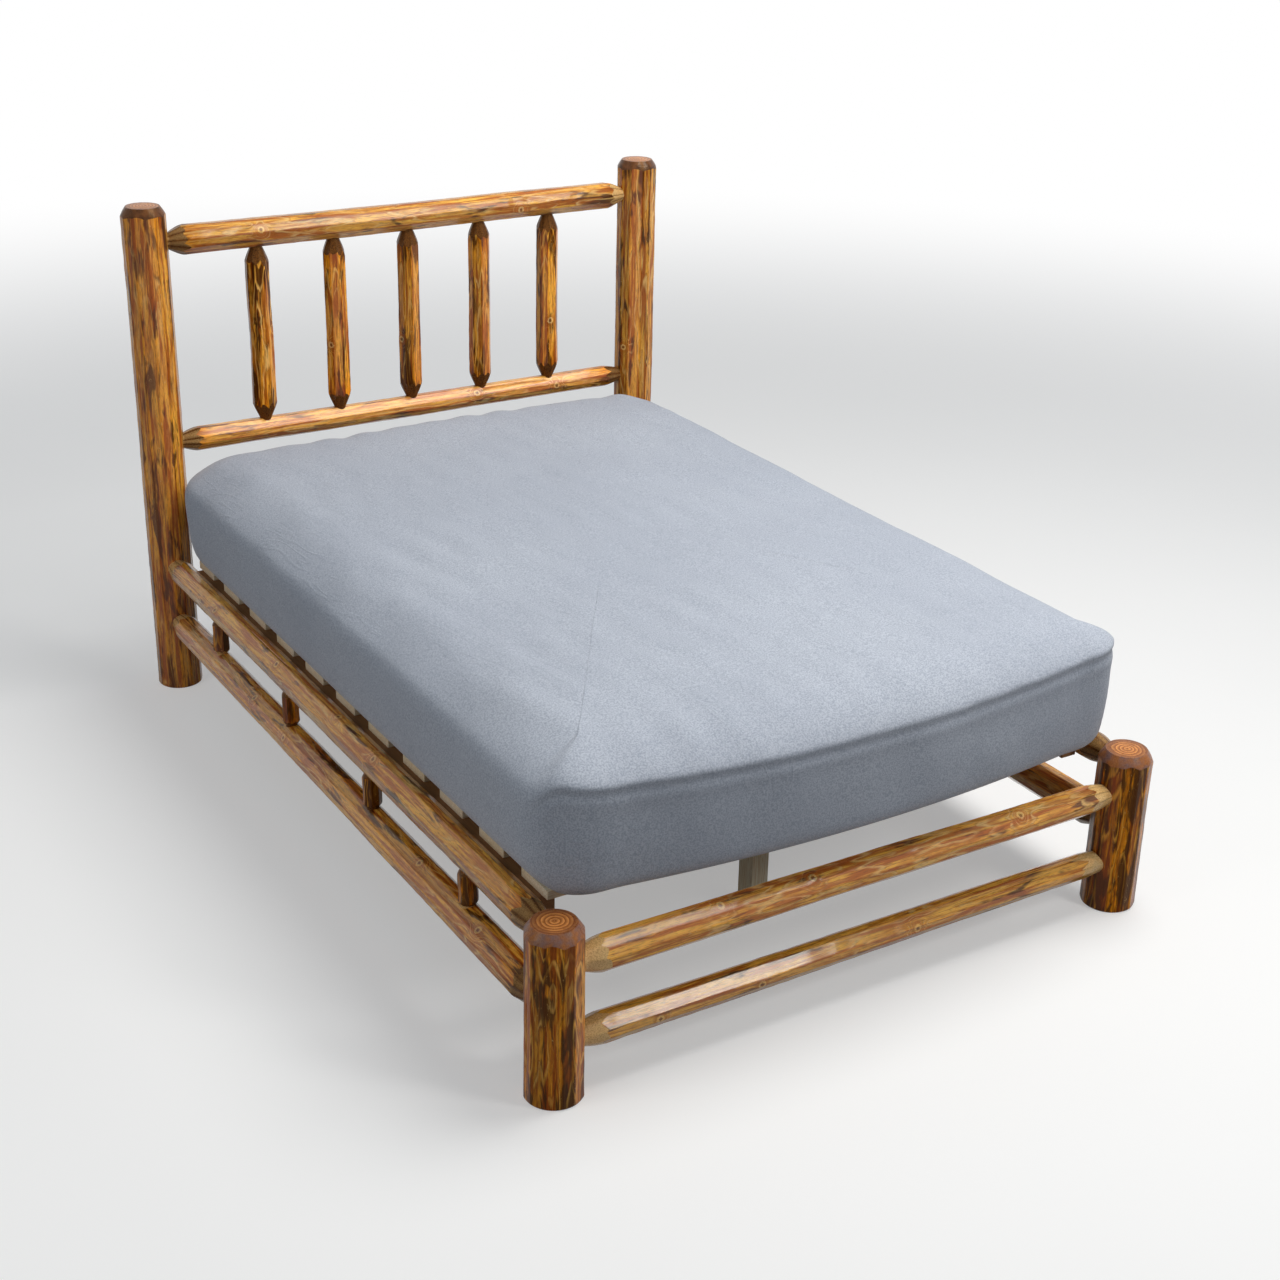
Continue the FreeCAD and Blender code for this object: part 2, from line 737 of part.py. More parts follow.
fitted_sheet = start_body("fitted_sheet")
outer = draw_mattress_block(fitted_sheet, "sheet_outside", size.soft_gap + size.sheet_thickness)
loft_between(fitted_sheet, "sheet_outer", outer[0], outer[1:])
document.recompute()
sheet_volume = fitted_sheet.Shape.Volume
inner = draw_mattress_block(fitted_sheet, "sheet_inside", size.soft_gap)
hollow = fitted_sheet.newObject("PartDesign::SubtractiveLoft", "sheet_hollow")
hollow.Profile = inner[0]
hollow.Sections = inner[1:]
hollow.Ruled = True
must_cut(fitted_sheet, hollow, sheet_volume)
hem_opening = sketch_on(fitted_sheet, "sheet_hem", "XY_Plane", size.mattress_bottom_roll)
hem_x = mattress_x - size.sheet_hem_width
hem_y = mattress_y - size.sheet_hem_width
draw_rounded_rectangle(hem_opening, hem_x, hem_y, size.mattress_corner_radius)
cut_pocket(fitted_sheet, "sheet_opening", hem_opening,
           size.mattress_bottom_roll + size.cut_overrun, False)
place(fitted_sheet, ZERO, mattress_centre, mattress_base)


# Countersunk wood screws, one group of separate solids for each use. A screw
# runs along its direction from the middle of its head, and has few sides.

def screw_ring(middle, across, up, radius):
    points = []
    for number in range(SCREW_SIDES + 1):
        turn = math.radians(FULL_TURN) * number / SCREW_SIDES
        points.append(middle + across * (radius * math.cos(turn)) + up * (radius * math.sin(turn)))
    return Part.makePolygon(points)


def screws(label, screw_length, seats):
    solids = []
    for x, y, z, direction in seats:
        top = Vector(x.value, y.value, z.value)
        across = Vector(0, 1, 0)
        up = direction.cross(across)
        rings = []
        for reach, radius in ((ZERO, size.screw_head_radius),
                              (size.screw_head_depth, size.screw_shank_radius),
                              (screw_length, size.screw_shank_radius)):
            rings.append(screw_ring(top + direction * reach.value, across, up, radius.value))
        solids.append(Part.makeLoft(rings, True, True))
    group = document.addObject("Part::Feature", label)
    group.Label = label
    group.Shape = Part.makeCompound(solids)


slat_top = size.slat_base_height + size.slat_thickness
cleat_screw_pitch = size.slat_pitch * CLEAT_SCREW_PITCH_SHARE
DOWN = Vector(0, 0, -1)
screws("slat_screws", size.slat_screw_length, [
    (side * cleat_x, distance, slat_top, DOWN)
    for side in (-1, 1) for distance in slat_places
])
screws("cleat_screws", size.cleat_screw_length, [
    (side * (cleat_face - size.cleat_width), distance,
     size.side_upper_rail_height, Vector(side, 0, 0))
    for side in (-1, 1) for distance in spread(CLEAT_SCREWS, cleat_screw_pitch)
])
screws("leg_screws", size.leg_screw_length, [
    (ZERO, distance + offset, size.slat_base_height, DOWN)
    for distance in leg_places for offset in spread(LEG_SCREWS, size.leg_screw_spacing)
])

# Every object has to be sound before anything is written.

document.recompute()
for item in document.Objects:
    if "Invalid" in item.State or "Error" in item.State:
        raise RuntimeError(f"{item.Label} failed: {item.State}")
pieces = [
    item for item in document.Objects
    if item.TypeId in ("PartDesign::Body", "Part::Box", "Part::Feature")
]
for item in pieces:
    if item.Shape.isNull() or not item.Shape.isValid():
        raise RuntimeError(f"{item.Label} has no sound shape")

os.makedirs("parts", exist_ok=True)
for item in pieces:
    item.Shape.exportStep(f"parts/{item.Label}.step")
    print(f"{item.Label}: {item.Shape.Volume / 1000:.0f} cm3, {len(item.Shape.Solids)} solid(s)")
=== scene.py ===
import math
from typing import NamedTuple

import bpy
import numpy as np
from mathutils import Euler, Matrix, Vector


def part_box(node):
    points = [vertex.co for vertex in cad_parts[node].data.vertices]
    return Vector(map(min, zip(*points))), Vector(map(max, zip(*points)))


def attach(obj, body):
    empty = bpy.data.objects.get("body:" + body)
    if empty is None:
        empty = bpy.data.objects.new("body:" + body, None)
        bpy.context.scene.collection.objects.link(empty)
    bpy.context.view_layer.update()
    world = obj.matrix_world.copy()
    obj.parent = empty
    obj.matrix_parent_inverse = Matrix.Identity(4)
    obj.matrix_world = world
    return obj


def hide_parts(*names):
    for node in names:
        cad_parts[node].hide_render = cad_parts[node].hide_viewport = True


# Rustic log bed, in metres. The bed stands on the floor with its foot end
# towards -Y, and every piece takes its place from the node that it dresses.

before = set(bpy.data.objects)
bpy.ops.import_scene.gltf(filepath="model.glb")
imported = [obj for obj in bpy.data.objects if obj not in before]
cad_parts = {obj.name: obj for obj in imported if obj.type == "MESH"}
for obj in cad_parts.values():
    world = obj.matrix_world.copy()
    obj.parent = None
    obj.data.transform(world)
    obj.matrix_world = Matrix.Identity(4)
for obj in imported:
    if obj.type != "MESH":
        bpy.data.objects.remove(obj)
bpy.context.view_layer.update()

FULL_TURN = 2 * math.pi
LEFT_AND_RIGHT = (("left", -1), ("right", 1))
TOUCHING = 1e-5
ROUNDING = 1e-9


# Meshes

def make_mesh(name, points, faces):
    mesh = bpy.data.meshes.new(name)
    mesh.from_pydata([tuple(p) for p in points], [], faces)
    mesh.validate()
    mesh.shade_smooth()
    piece = bpy.data.objects.new(name, mesh)
    bpy.context.scene.collection.objects.link(piece)
    return piece


# The faces between rings of points, where each ring has the same number.
def ring_faces(count, width):
    faces = []
    for low in range(0, (count - 1) * width, width):
        for number in range(width):
            after = (number + 1) % width
            faces.append((low + number, low + after, low + width + after, low + width + number))
    return faces


def store_vectors(piece, name, rows):
    attribute = piece.data.attributes.new(name, "FLOAT_VECTOR", "POINT")
    attribute.data.foreach_set("vector", np.asarray(rows, np.float32).ravel())


def finish_piece(piece, body, material, nodes=()):
    piece.data.materials.append(material)
    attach(piece, body)
    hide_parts(*nodes)


# How far a value is on its way from low to high, as a share.
def share_between(value, low, high):
    return np.clip((value - low) / (high - low), 0, 1)


# A smooth random line, for anything that wanders along a log.
class Wander:
    WAVES = 4
    PACES = (0.6, 1.7)

    def __init__(self, rng, reach, wavelength):
        self.reach = reach
        self.turns = FULL_TURN * rng.uniform(*self.PACES, self.WAVES) / wavelength
        self.phases = rng.uniform(0, FULL_TURN, self.WAVES)

    def at(self, along):
        total = sum(np.sin(turn * along + phase) for turn, phase in zip(self.turns, self.phases))
        return self.reach * total / self.WAVES


# Materials: a small helper puts nodes down, and takes numbers, colours or
# other nodes' outputs as their inputs.

def paint(red, green, blue):
    shares = [channel / 255 for channel in (red, green, blue)]
    linear = [s / 12.92 if s <= 0.04045 else ((s + 0.055) / 1.055) ** 2.4 for s in shares]
    return (*linear, 1)


class Finish:
    def __init__(self, name):
        self.material = bpy.data.materials.new(name)
        self.material.use_nodes = True
        self.tree = self.material.node_tree
        self.surface = self.tree.nodes["Principled BSDF"]

    def feed(self, socket, value):
        if isinstance(value, bpy.types.NodeSocket):
            self.tree.links.new(value, socket)
        else:
            socket.default_value = value

    def put(self, kind, inputs, output=0, **settings):
        node = self.tree.nodes.new("ShaderNode" + kind)
        for setting, value in settings.items():
            setattr(node, setting, value)
        for key, value in inputs.items():
            self.feed(node.inputs[key], value)
        return node.outputs[output]

    def place(self):
        return self.put("TexCoord", {}, "Object")

    def stored(self, name):
        return self.put("Attribute", {}, "Vector", attribute_name=name)

    def split(self, vector):
        node = self.tree.nodes.new("ShaderNodeSeparateXYZ")
        self.feed(node.inputs[0], vector)
        return node.outputs[0], node.outputs[1], node.outputs[2]

    def maths(self, operation, first, second=0.0, clamped=False):
        return self.put("Math", {0: first, 1: second}, operation=operation, use_clamp=clamped)

    def plus(self, first, *others):
        for other in others:
            first = self.maths("ADD", first, other)
        return first

    def minus(self, first, second):
        return self.maths("SUBTRACT", first, second)

    def times(self, first, *others):
        for other in others:
            first = self.maths("MULTIPLY", first, other)
        return first

    def over(self, first, second):
        return self.maths("DIVIDE", first, second)

    def length(self, vector):
        return self.put("VectorMath", {0: vector}, 1, operation="LENGTH")

    def scaled(self, vector, factors):
        return self.put("VectorMath", {0: vector, 1: factors}, operation="MULTIPLY")

    # The scale is one number, or a tuple with one for each axis.
    def noise(self, vector, scale, detail=2.0, roughness=0.5, distortion=0.0):
        if isinstance(scale, tuple):
            vector = self.scaled(vector, scale)
            scale = 1.0
        return self.put("TexNoise", {"Vector": vector, "Scale": scale, "Detail": detail,
                                     "Roughness": roughness, "Distortion": distortion}, "Fac")

    def span(self, value, low, high, to_low=0.0, to_high=1.0):
        return self.put("MapRange", {"Value": value, "From Min": low, "From Max": high,
                                     "To Min": to_low, "To Max": to_high},
                        interpolation_type="SMOOTHSTEP")

    def mix(self, share, first, second, blend="MIX"):
        return self.put("Mix", {0: share, 6: first, 7: second}, 2, data_type="RGBA",
                        blend_type=blend)

    # Lays one colour over another, more and more as a value goes from low to
    # high, and at most by a share.
    def lay(self, under, over, value, low, high, most=1.0):
        return self.mix(self.span(value, low, high, 0.0, most), under, over)

    def bump(self, height, strength, distance, under=None):
        inputs = {"Height": height, "Strength": strength, "Distance": distance}
        if under is not None:
            inputs["Normal"] = under
        return self.put("Bump", inputs)

    def set(self, **values):
        for key, value in values.items():
            self.feed(self.surface.inputs[key.replace("_", " ")], value)


# Hewn pine, scorched with a flame and varnished. The growth rings are round
# the log's own middle, so the facets cut them into long arches, and the
# scorching follows the grain. Attributes on each log's points say how burnt it
# is, which facet a point is on, and where its cones, chamfers and knots are.
RING_WIDTH = 0.0030
RING_WARP = 0.036
RING_WAVER = 0.0024
END_RING_WIDTH = 0.0080
END_RING_WARP = 0.030
KNOT_SPREAD = 0.016
KNOT_LIFT = 0.012
LIGHT_GOLD = paint(255, 200, 84)
LIGHT_BROWN = paint(188, 102, 24)
BURNT_GOLD = paint(250, 156, 24)
BURNT_BROWN = paint(146, 64, 8)
CHAR = paint(54, 22, 5)
CHAR_START = 0.63
CHAR_SPREAD = 0.18
CHAR_CONTRAST = 14.0
PALE_LINE = paint(254, 220, 144)
BURNT_LINE = paint(252, 178, 66)
SCRATCHED = paint(224, 182, 112)
FACET_SHADES = (0.76, 1.36)
# A pinkish-grey tint laid on the lightest facets, a painted reflection.
PAINTED_FACET_SHEEN = paint(160, 106, 92)
KNOT_CORE = paint(104, 52, 20)
# The foot posts' chamfers: a purple-grey that is a painted reflection, mottled with brown.
FOOT_CROWN_SHEEN_COLOURS = (paint(132, 104, 100), paint(172, 108, 62))
HEAD_CROWN_COLOURS = (paint(66, 42, 30), paint(112, 70, 42))
CROWN_FLECK = paint(112, 66, 44)
# The darker and the lighter of a cone's colours, each from light to burnt.
CONE_COLOURS = (
    (paint(208, 160, 96), paint(56, 31, 14)),
    (paint(240, 200, 134), paint(112, 68, 30)),
)
END_COLOURS = (paint(152, 84, 38), paint(228, 154, 84))
END_MOTTLE = paint(136, 76, 38)
END_RIM = paint(112, 66, 46)
BARE_COLOURS = (paint(196, 158, 98), paint(226, 194, 138))
VARNISH_TINT = paint(255, 200, 110)


def toasted_pine(name, crown_colours=FOOT_CROWN_SHEEN_COLOURS):
    f = Finish(name)
    grain = f.stored("grain")
    facet, burn, bare = f.split(f.stored("tone"))
    cone, crown, end = f.split(f.stored("zone"))
    knot_across, knot_along, knot_near = f.split(f.stored("knot"))

    slow = f.noise(grain, (10, 10, 2.4), 2.0, 0.45)
    waver = f.noise(grain, (85, 85, 9))
    band = f.noise(grain, (95, 95, 5))
    streak = f.noise(grain, (215, 215, 10), 3.0, 0.6)
    patch = f.noise(grain, (40, 40, 7.5), 3.0, 0.6, 0.4)
    fleck = f.noise(grain, (520, 520, 60), 2.0, 0.6)
    scratch = f.noise(grain, (250, 250, 70), 3.0, 0.6, 1.6)
    crumb = f.noise(grain, (420, 420, 420), 3.0, 0.6)
    mottle = f.noise(grain, (55, 55, 55))

    # Growth rings, which knots push aside.
    knot_far = f.length(f.put("CombineXYZ", {0: knot_across, 1: knot_along}))
    knot_fall = f.over(knot_far, KNOT_SPREAD)
    knot = f.times(f.maths("EXPONENT", f.times(knot_fall, knot_fall, -1.0)), knot_near)
    distance = f.length(f.scaled(grain, (1, 1, 0)))
    ring = f.plus(distance, f.times(slow, RING_WARP), f.times(waver, RING_WAVER))
    ring = f.minus(ring, f.times(knot, KNOT_LIFT))
    phase = f.maths("FRACT", f.over(ring, RING_WIDTH))
    line = f.times(f.span(phase, 0.58, 0.86), f.span(phase, 0.86, 0.99, 1.0, 0.0))
    trough = f.times(f.span(phase, 0.02, 0.50), f.span(slow, 0.35, 0.65, 0.15, 0.55))

    # Scorched wood with char, pale lines, scratches and flecks.
    gold = f.mix(burn, LIGHT_GOLD, BURNT_GOLD)
    brown = f.mix(burn, LIGHT_BROWN, BURNT_BROWN)
    colour = f.lay(brown, gold, band, 0.42, 0.54)
    colour = f.lay(colour, brown, streak, 0.52, 0.40, 0.70)
    colour = f.lay(colour, gold, streak, 0.54, 0.64, 0.60)
    colour = f.mix(trough, colour, brown)
    char_start = f.minus(CHAR_START, f.times(burn, CHAR_SPREAD))
    char = f.maths("MULTIPLY", f.minus(patch, char_start), CHAR_CONTRAST, True)
    colour = f.mix(f.times(char, 0.88), colour, CHAR)
    show = f.times(line, f.span(slow, 0.40, 0.60, 0.15, 0.95),
                   f.span(waver, 0.36, 0.58, 0.15, 1.0), f.span(burn, 0.10, 0.90, 0.70, 1.0))
    colour = f.mix(show, colour, f.mix(burn, PALE_LINE, BURNT_LINE))
    scratched = f.times(f.span(scratch, 0.64, 0.69), f.span(band, 0.42, 0.60), 0.8)
    colour = f.mix(scratched, colour, SCRATCHED)
    colour = f.lay(colour, CHAR, fleck, 0.50, 0.34, 0.35)
    # Facets are lighter or darker at random, and the lightest take a pinkish-grey tint: a painted
    # reflection.
    shade = f.span(facet, 0.0, 1.0, *FACET_SHADES)
    colour = f.put("VectorMath", {0: colour, 3: shade}, operation="SCALE")
    colour = f.lay(colour, PAINTED_FACET_SHEEN, facet, 0.72, 0.80, 0.25)

    # Knots: a dark core, a pale ring and a shade around it.
    knot_far = f.plus(knot_far, f.span(crumb, 0.35, 0.65, -0.0012, 0.0012))
    knot_core = f.times(f.span(knot_far, 0.0046, 0.0026), knot_near)
    knot_ring = f.times(f.span(knot_far, 0.0040, 0.0058), f.span(knot_far, 0.0092, 0.0070),
                        knot_near)
    knot_shade = f.times(f.span(knot_far, 0.0076, 0.0100), f.span(knot_far, 0.0190, 0.0110),
                         knot_near)
    colour = f.mix(f.times(knot_shade, 0.55), colour, brown)
    colour = f.mix(f.times(knot_ring, 0.45), colour, PALE_LINE)
    colour = f.mix(f.times(knot_core, 0.85), colour, KNOT_CORE)

    # Cones, chamfers, sawn ends and bare wood.
    cone_burn = f.span(burn, 0.35, 0.95)
    cone_colours = [f.mix(cone_burn, light, burnt) for light, burnt in CONE_COLOURS]
    colour = f.mix(cone, colour, f.lay(*cone_colours, crumb, 0.36, 0.60))
    # The chamfer's colours; on the foot posts their purple-grey is a painted reflection.
    crown_colour = f.lay(*crown_colours, mottle, 0.30, 0.70)
    crown_colour = f.lay(crown_colour, CROWN_FLECK, fleck, 0.56, 0.36, 0.4)
    colour = f.mix(crown, colour, crown_colour)
    year = f.over(f.plus(distance, f.times(slow, END_RING_WARP)), END_RING_WIDTH)
    end_colour = f.lay(*END_COLOURS, f.maths("FRACT", year), 0.10, 0.90)
    end_colour = f.lay(end_colour, END_MOTTLE, mottle, 0.60, 0.38, 0.35)
    end_colour = f.lay(end_colour, END_RIM, distance, 0.022, 0.044, 0.80)
    colour = f.mix(end, colour, end_colour)
    colour = f.mix(bare, colour, f.lay(*BARE_COLOURS, crumb, 0.4, 0.6))

    height = f.plus(f.times(streak, 0.7), f.times(line, 0.30))
    height = f.minus(height, f.times(knot_core, 0.9))
    height = f.plus(height, f.times(cone, crumb, 1.2))
    normal = f.bump(height, 0.45, 0.0007)
    normal = f.bump(fleck, 0.25, 0.0003, normal)
    coat = f.times(f.span(burn, 0.25, 0.75, 0.55, 0.05), f.span(end, 0.0, 1.0, 1.0, 0.3))
    f.set(Base_Color=colour, Normal=normal, Coat_Weight=coat, Coat_Roughness=0.12, IOR=1.32,
          Specular_IOR_Level=0.45, Specular_Tint=VARNISH_TINT,
          Roughness=f.span(streak, 0.3, 0.7, 0.24, 0.40))
    return f.material


# How fine the boards' rings and fibres are, along the grain and across it.
BOARD_RINGS = (3.0, 60.0)
BOARD_FIBRES = (14.0, 520.0)


# Planed pine boards, left bare. The grain runs along one axis of the bed, and a tint can darken
# them as painted shade.
def raw_pine(name, along, tint=(1, 1, 1, 1)):
    f = Finish(name)
    place = f.place()
    stretch, fine = [tuple(kind[axis != along] for axis in range(3))
                     for kind in (BOARD_RINGS, BOARD_FIBRES)]
    rings = f.maths("FRACT", f.times(f.noise(place, stretch, 3.0, 0.55, 0.6), 9.0))
    fibre = f.noise(place, fine, 2.0, 0.6)
    colour = f.lay(paint(244, 232, 200), paint(250, 242, 220), f.noise(place, 9.0), 0.3, 0.7)
    colour = f.lay(colour, paint(206, 172, 116), rings, 0.45, 0.95, 0.45)
    colour = f.lay(colour, paint(190, 156, 106), fibre, 0.62, 0.30, 0.35)
    colour = f.mix(1.0, colour, tint, "MULTIPLY")
    f.set(Base_Color=colour, Normal=f.bump(fibre, 0.3, 0.0004),
          Roughness=f.span(fibre, 0.3, 0.7, 0.62, 0.78))
    return f.material


# Heathered cotton, with soft creases along the bed, and painted shade that darkens the colour
# along them.
def woven_cotton(name):
    f = Finish(name)
    place = f.place()
    threads = f.noise(place, (1500, 1500, 1500), 2.0, 0.6)
    heather = f.noise(place, (330, 330, 330), 3.0, 0.6)
    turned = f.put("Mapping", {"Vector": place, "Rotation": (0, 0, math.radians(84))})
    crease_and_shade = f.noise(turned, (6, 30, 20), 2.0, 0.5, 0.6)
    beside = f.maths("ABSOLUTE", f.minus(crease_and_shade, 0.5))
    where = f.span(f.noise(place, 5.1), 0.44, 0.60)
    crease_and_shade = f.times(f.span(beside, 0.07, 0.0), where)
    cloud = f.noise(place, 2.2, 3.0)
    colour = f.lay(paint(184, 190, 201), paint(194, 200, 210), cloud, 0.3, 0.7)
    colour = f.lay(colour, paint(148, 156, 172), heather, 0.60, 0.38, 0.80)
    colour = f.lay(colour, paint(206, 210, 217), threads, 0.40, 0.70, 0.20)
    # Painted shade darkens the colour along the creases.
    colour = f.mix(f.times(crease_and_shade, 0.08), colour, paint(140, 148, 162))
    normal = f.bump(crease_and_shade, 0.30, 0.0012)
    normal = f.bump(heather, 0.25, 0.0008, normal)
    normal = f.bump(threads, 0.30, 0.0005, normal)
    f.set(Base_Color=colour, Normal=normal, Roughness=0.88, Sheen_Weight=0.15,
          Sheen_Roughness=0.5, Specular_IOR_Level=0.25)
    return f.material


def mattress_ticking(name):
    f = Finish(name)
    place = f.place()
    threads = f.noise(place, (900, 900, 900), 2.0, 0.6)
    weave = f.put("TexWave", {"Vector": place, "Scale": 60.0, "Distortion": 0.4}, "Fac")
    colour = f.lay(paint(214, 216, 218), paint(232, 233, 234), threads, 0.3, 0.7)
    colour = f.lay(colour, paint(186, 190, 196), weave, 0.6, 0.9, 0.18)
    f.set(Base_Color=colour, Normal=f.bump(threads, 0.4, 0.0006), Roughness=0.85)
    return f.material


def dark_steel(name):
    f = Finish(name)
    worn = f.noise(f.place(), 700.0, 3.0, 0.6)
    colour = f.lay(paint(58, 54, 50), paint(112, 106, 98), worn, 0.45, 0.7)
    f.set(Base_Color=colour, Normal=f.bump(worn, 0.3, 0.0003), Metallic=0.85,
          Roughness=f.span(worn, 0.3, 0.7, 0.38, 0.6))
    return f.material


foot_post_pine = toasted_pine("foot_post_pine")
head_post_pine = toasted_pine("head_post_pine", HEAD_CROWN_COLOURS)
rail_pine = toasted_pine("rail_pine")
spindle_pine = toasted_pine("spindle_pine")
board_pines = [raw_pine(f"raw_pine_{name}", axis) for axis, name in enumerate("xyz")]
# The cleats and the centre beam are darkened as painted shade, for the dark gaps between the
# slats.
shade_dark_pine = raw_pine("shade_dark_pine", 1, paint(150, 112, 76))
sheet_cotton = woven_cotton("sheet_cotton")
ticking = mattress_ticking("mattress_ticking")
screw_steel = dark_steel("screw_steel")


# Logs. Places across a log are complex numbers about its middle, because a
# facet is then a direction and a distance, and angles add by multiplying.

SLANT_LIMIT = 0.02
DEEP_SHARE = 0.9
SAME_ANGLE = math.radians(2)
FACET_DIP = 0.0007
FACET_SWING = math.radians(2.2)
DIP_WAVE = 0.34
BOW = 0.0014
RIPPLE = 0.00022
RIPPLE_WAVE = 0.06
RIPPLE_COUNT = 5
RIPPLE_LEAD = 0.01
PITH_REACH = 0.004
GRAIN_LENGTH = 40
WINDOW_POWER = 0.3
STROKE_SHIFT = 900
STROKE_MEAN = 0.6
EDGE_ROUNDS = 3
EDGE_PULL = 0.0006
RING_STEP = 0.012
LEAST_RINGS = 6
END_STEP = 0.0016
END_STEPS = (1, 2.5)
CONE_RINGS = 5
CONE_SWELL = 0.0006
COLUMN_SHARES = (0.0, 0.055, 0.15, 0.38, 0.62, 0.85, 0.945)
CAP_SHARES = (0.93, 0.72, 0.48, 0.24)
CAP_DOME = 0.0012
CRACK_EDGE = 0.00035
CRACK_CLEARANCE_SHARE = 0.09
CRACK_TAPER = 0.6
CRACK_HALF_LENGTHS = (0.06, 0.16)
CRACK_HALF_WIDTHS = (0.0005, 0.0011)
CRACK_DEPTHS = (0.002, 0.004)
ALONG_GAP_SHARES = (0.2, 0.8)
ACROSS_FACET_SHARES = (0.3, 0.7)
KNOT_SHARES = (0.3, 0.5, 0.7)
KNOT_REACH = 0.045
KNOT_STEPS = (-0.009, -0.005, -0.002, 0.002, 0.005, 0.009)
BORDER_BURN = 0.34
BORDER_START_SHARE = 0.55
BORDER_POWER = 1.5
END_BURN_REACH = 0.040
KNOT_BULGE = 0.0012
KNOT_BULGE_REACH = 0.010
KNOT_HOLLOW = 0.0014
KNOT_HOLLOW_REACH = 0.0035
END_FADE = 0.02


class Log:
    def __init__(self, node, seed, burn, end_burns):
        self.node = node
        self.rng = np.random.default_rng(seed)
        low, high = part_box(node)
        self.axis = max(range(3), key=lambda i: (high - low)[i])
        self.across = (self.axis + 1) % 3
        self.up = (self.axis + 2) % 3
        self.start = low[self.axis]
        self.length = high[self.axis] - self.start
        self.middle = self.find_middle(low, high)
        self.facets = self.read_facets()
        self.radius = float(np.mean([depth for angle, depth, slope in self.facets]))
        count = len(self.facets)
        self.dips = [Wander(self.rng, FACET_DIP, DIP_WAVE) for _ in range(count)]
        self.swings = [Wander(self.rng, FACET_SWING, DIP_WAVE) for _ in range(count)]
        self.tones = self.rng.permutation(np.linspace(0, 1, count))
        self.burn = burn
        self.end_burns = end_burns
        self.bows = [Wander(self.rng, BOW, self.length) for _ in range(2)]
        self.ripples = [Wander(self.rng, RIPPLE, RIPPLE_WAVE) for _ in range(RIPPLE_COUNT)]
        self.pith = complex(*self.rng.uniform(-PITH_REACH, PITH_REACH, 2))
        self.shift = float(self.rng.uniform(0, GRAIN_LENGTH))

    # The middle of the tenon where there is one, and of the box elsewhere.
    def find_middle(self, low, high):
        rows = np.array([v.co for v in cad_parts[self.node].data.vertices])
        end = rows[rows[:, self.axis] < self.start + TOUCHING].mean(axis=0)
        if "post" in self.node:
            end = (np.array(low) + np.array(high)) / 2
        return complex(end[self.across], end[self.up])

    # Each hewn facet's direction, its distance from the middle at the log's
    # start, and how that distance changes along the log.
    def read_facets(self):
        found = []
        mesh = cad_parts[self.node].data
        for polygon in mesh.polygons:
            normal = polygon.normal
            if abs(normal[self.axis]) > SLANT_LIMIT:
                continue
            flat = complex(normal[self.across], normal[self.up])
            centre = complex(polygon.center[self.across], polygon.center[self.up]) - self.middle
            along = polygon.center[self.axis] - self.start
            slope = -normal[self.axis] / abs(flat)
            depth = (centre * flat.conjugate()).real / abs(flat) - slope * along
            angle = math.atan2(flat.imag, flat.real) % FULL_TURN
            found.append((angle, depth, slope, polygon.area))
        deepest = max(row[1] for row in found)
        found = sorted(row for row in found if row[1] > DEEP_SHARE * deepest)
        groups = []
        for row in found:
            if groups and row[0] - groups[-1][-1][0] < SAME_ANGLE:
                groups[-1].append(row)
            else:
                groups.append([row])
        if groups[0][0][0] + FULL_TURN - groups[-1][-1][0] < SAME_ANGLE:
            last = groups.pop()
            groups[0] = [(a - FULL_TURN, d, s, w) for a, d, s, w in last] + groups[0]
        facets = []
        for group in groups:
            rows = np.array(group)
            facets.append(tuple(np.average(rows[:, :3], axis=0, weights=rows[:, 3])))
        return facets

    def depth_towards(self, angle, along):
        best = min(self.facets, key=lambda f: abs(math.remainder(f[0] - angle, FULL_TURN)))
        return best[1] + best[2] * along

    def inner_window(self, along):
        return np.sin(math.pi * share_between(along, 0, self.length))

    def plane(self, number, along):
        number %= len(self.facets)
        angle, depth, slope = self.facets[number]
        window = self.inner_window(along) ** WINDOW_POWER
        angle = angle + self.swings[number].at(along) * window
        depth = depth + slope * along - window * (self.dips[number].at(along) + FACET_DIP)
        return angle, depth

    def corner(self, number, along):
        angle_a, depth_a = self.plane(number, along)
        angle_b, depth_b = self.plane(number + 1, along)
        spin_a = np.exp(1j * angle_a)
        spin_b = np.exp(1j * angle_b)
        return -1j * (depth_a * spin_b - depth_b * spin_a) / np.sin(angle_b - angle_a)

    def on_facet(self, number, share, along):
        first = self.corner(number - 1, along)
        last = self.corner(number, along)
        return first + (last - first) * share

    def bow(self, along):
        return (self.bows[0].at(along) + 1j * self.bows[1].at(along)) * self.inner_window(along)

    def ripple(self, angle, along):
        return sum(ripple.at(along + angle * RIPPLE_LEAD * (turn + 1)) * np.cos(turn * angle)
                   for turn, ripple in enumerate(self.ripples))

    def world(self, places, along):
        rows = np.zeros(places.shape + (3,))
        rows[..., self.axis] = self.start + along
        rows[..., self.across] = self.middle.real + places.real
        rows[..., self.up] = self.middle.imag + places.imag
        return rows


# How a log ends: it is turned down to a radius there, and from its shoulder
# on that radius grows by its slope until it meets the facets. The strokes that
# cut it leave a scalloped edge. A bare share of it has no varnish.
class End(NamedTuple):
    radius: float
    shoulder: float
    slope: float
    strokes: int = 0
    stroke_depth: float = 0.0
    flat: bool = False
    bare: float = 0.0

    def meets(self, place):
        depth = (np.abs(place) - self.radius) / self.slope
        stroke = np.abs(np.sin(self.strokes * np.angle(place) / 2 + self.radius * STROKE_SHIFT))
        return self.shoulder + depth * (1 + self.stroke_depth * (stroke - STROKE_MEAN))


class Crack(NamedTuple):
    facet: int
    share: float
    middle: float
    half_length: float
    half_width: float
    depth: float

    def opening(self, along):
        return np.clip(1 - ((along - self.middle) / self.half_length) ** 2, 0, 1) ** CRACK_TAPER


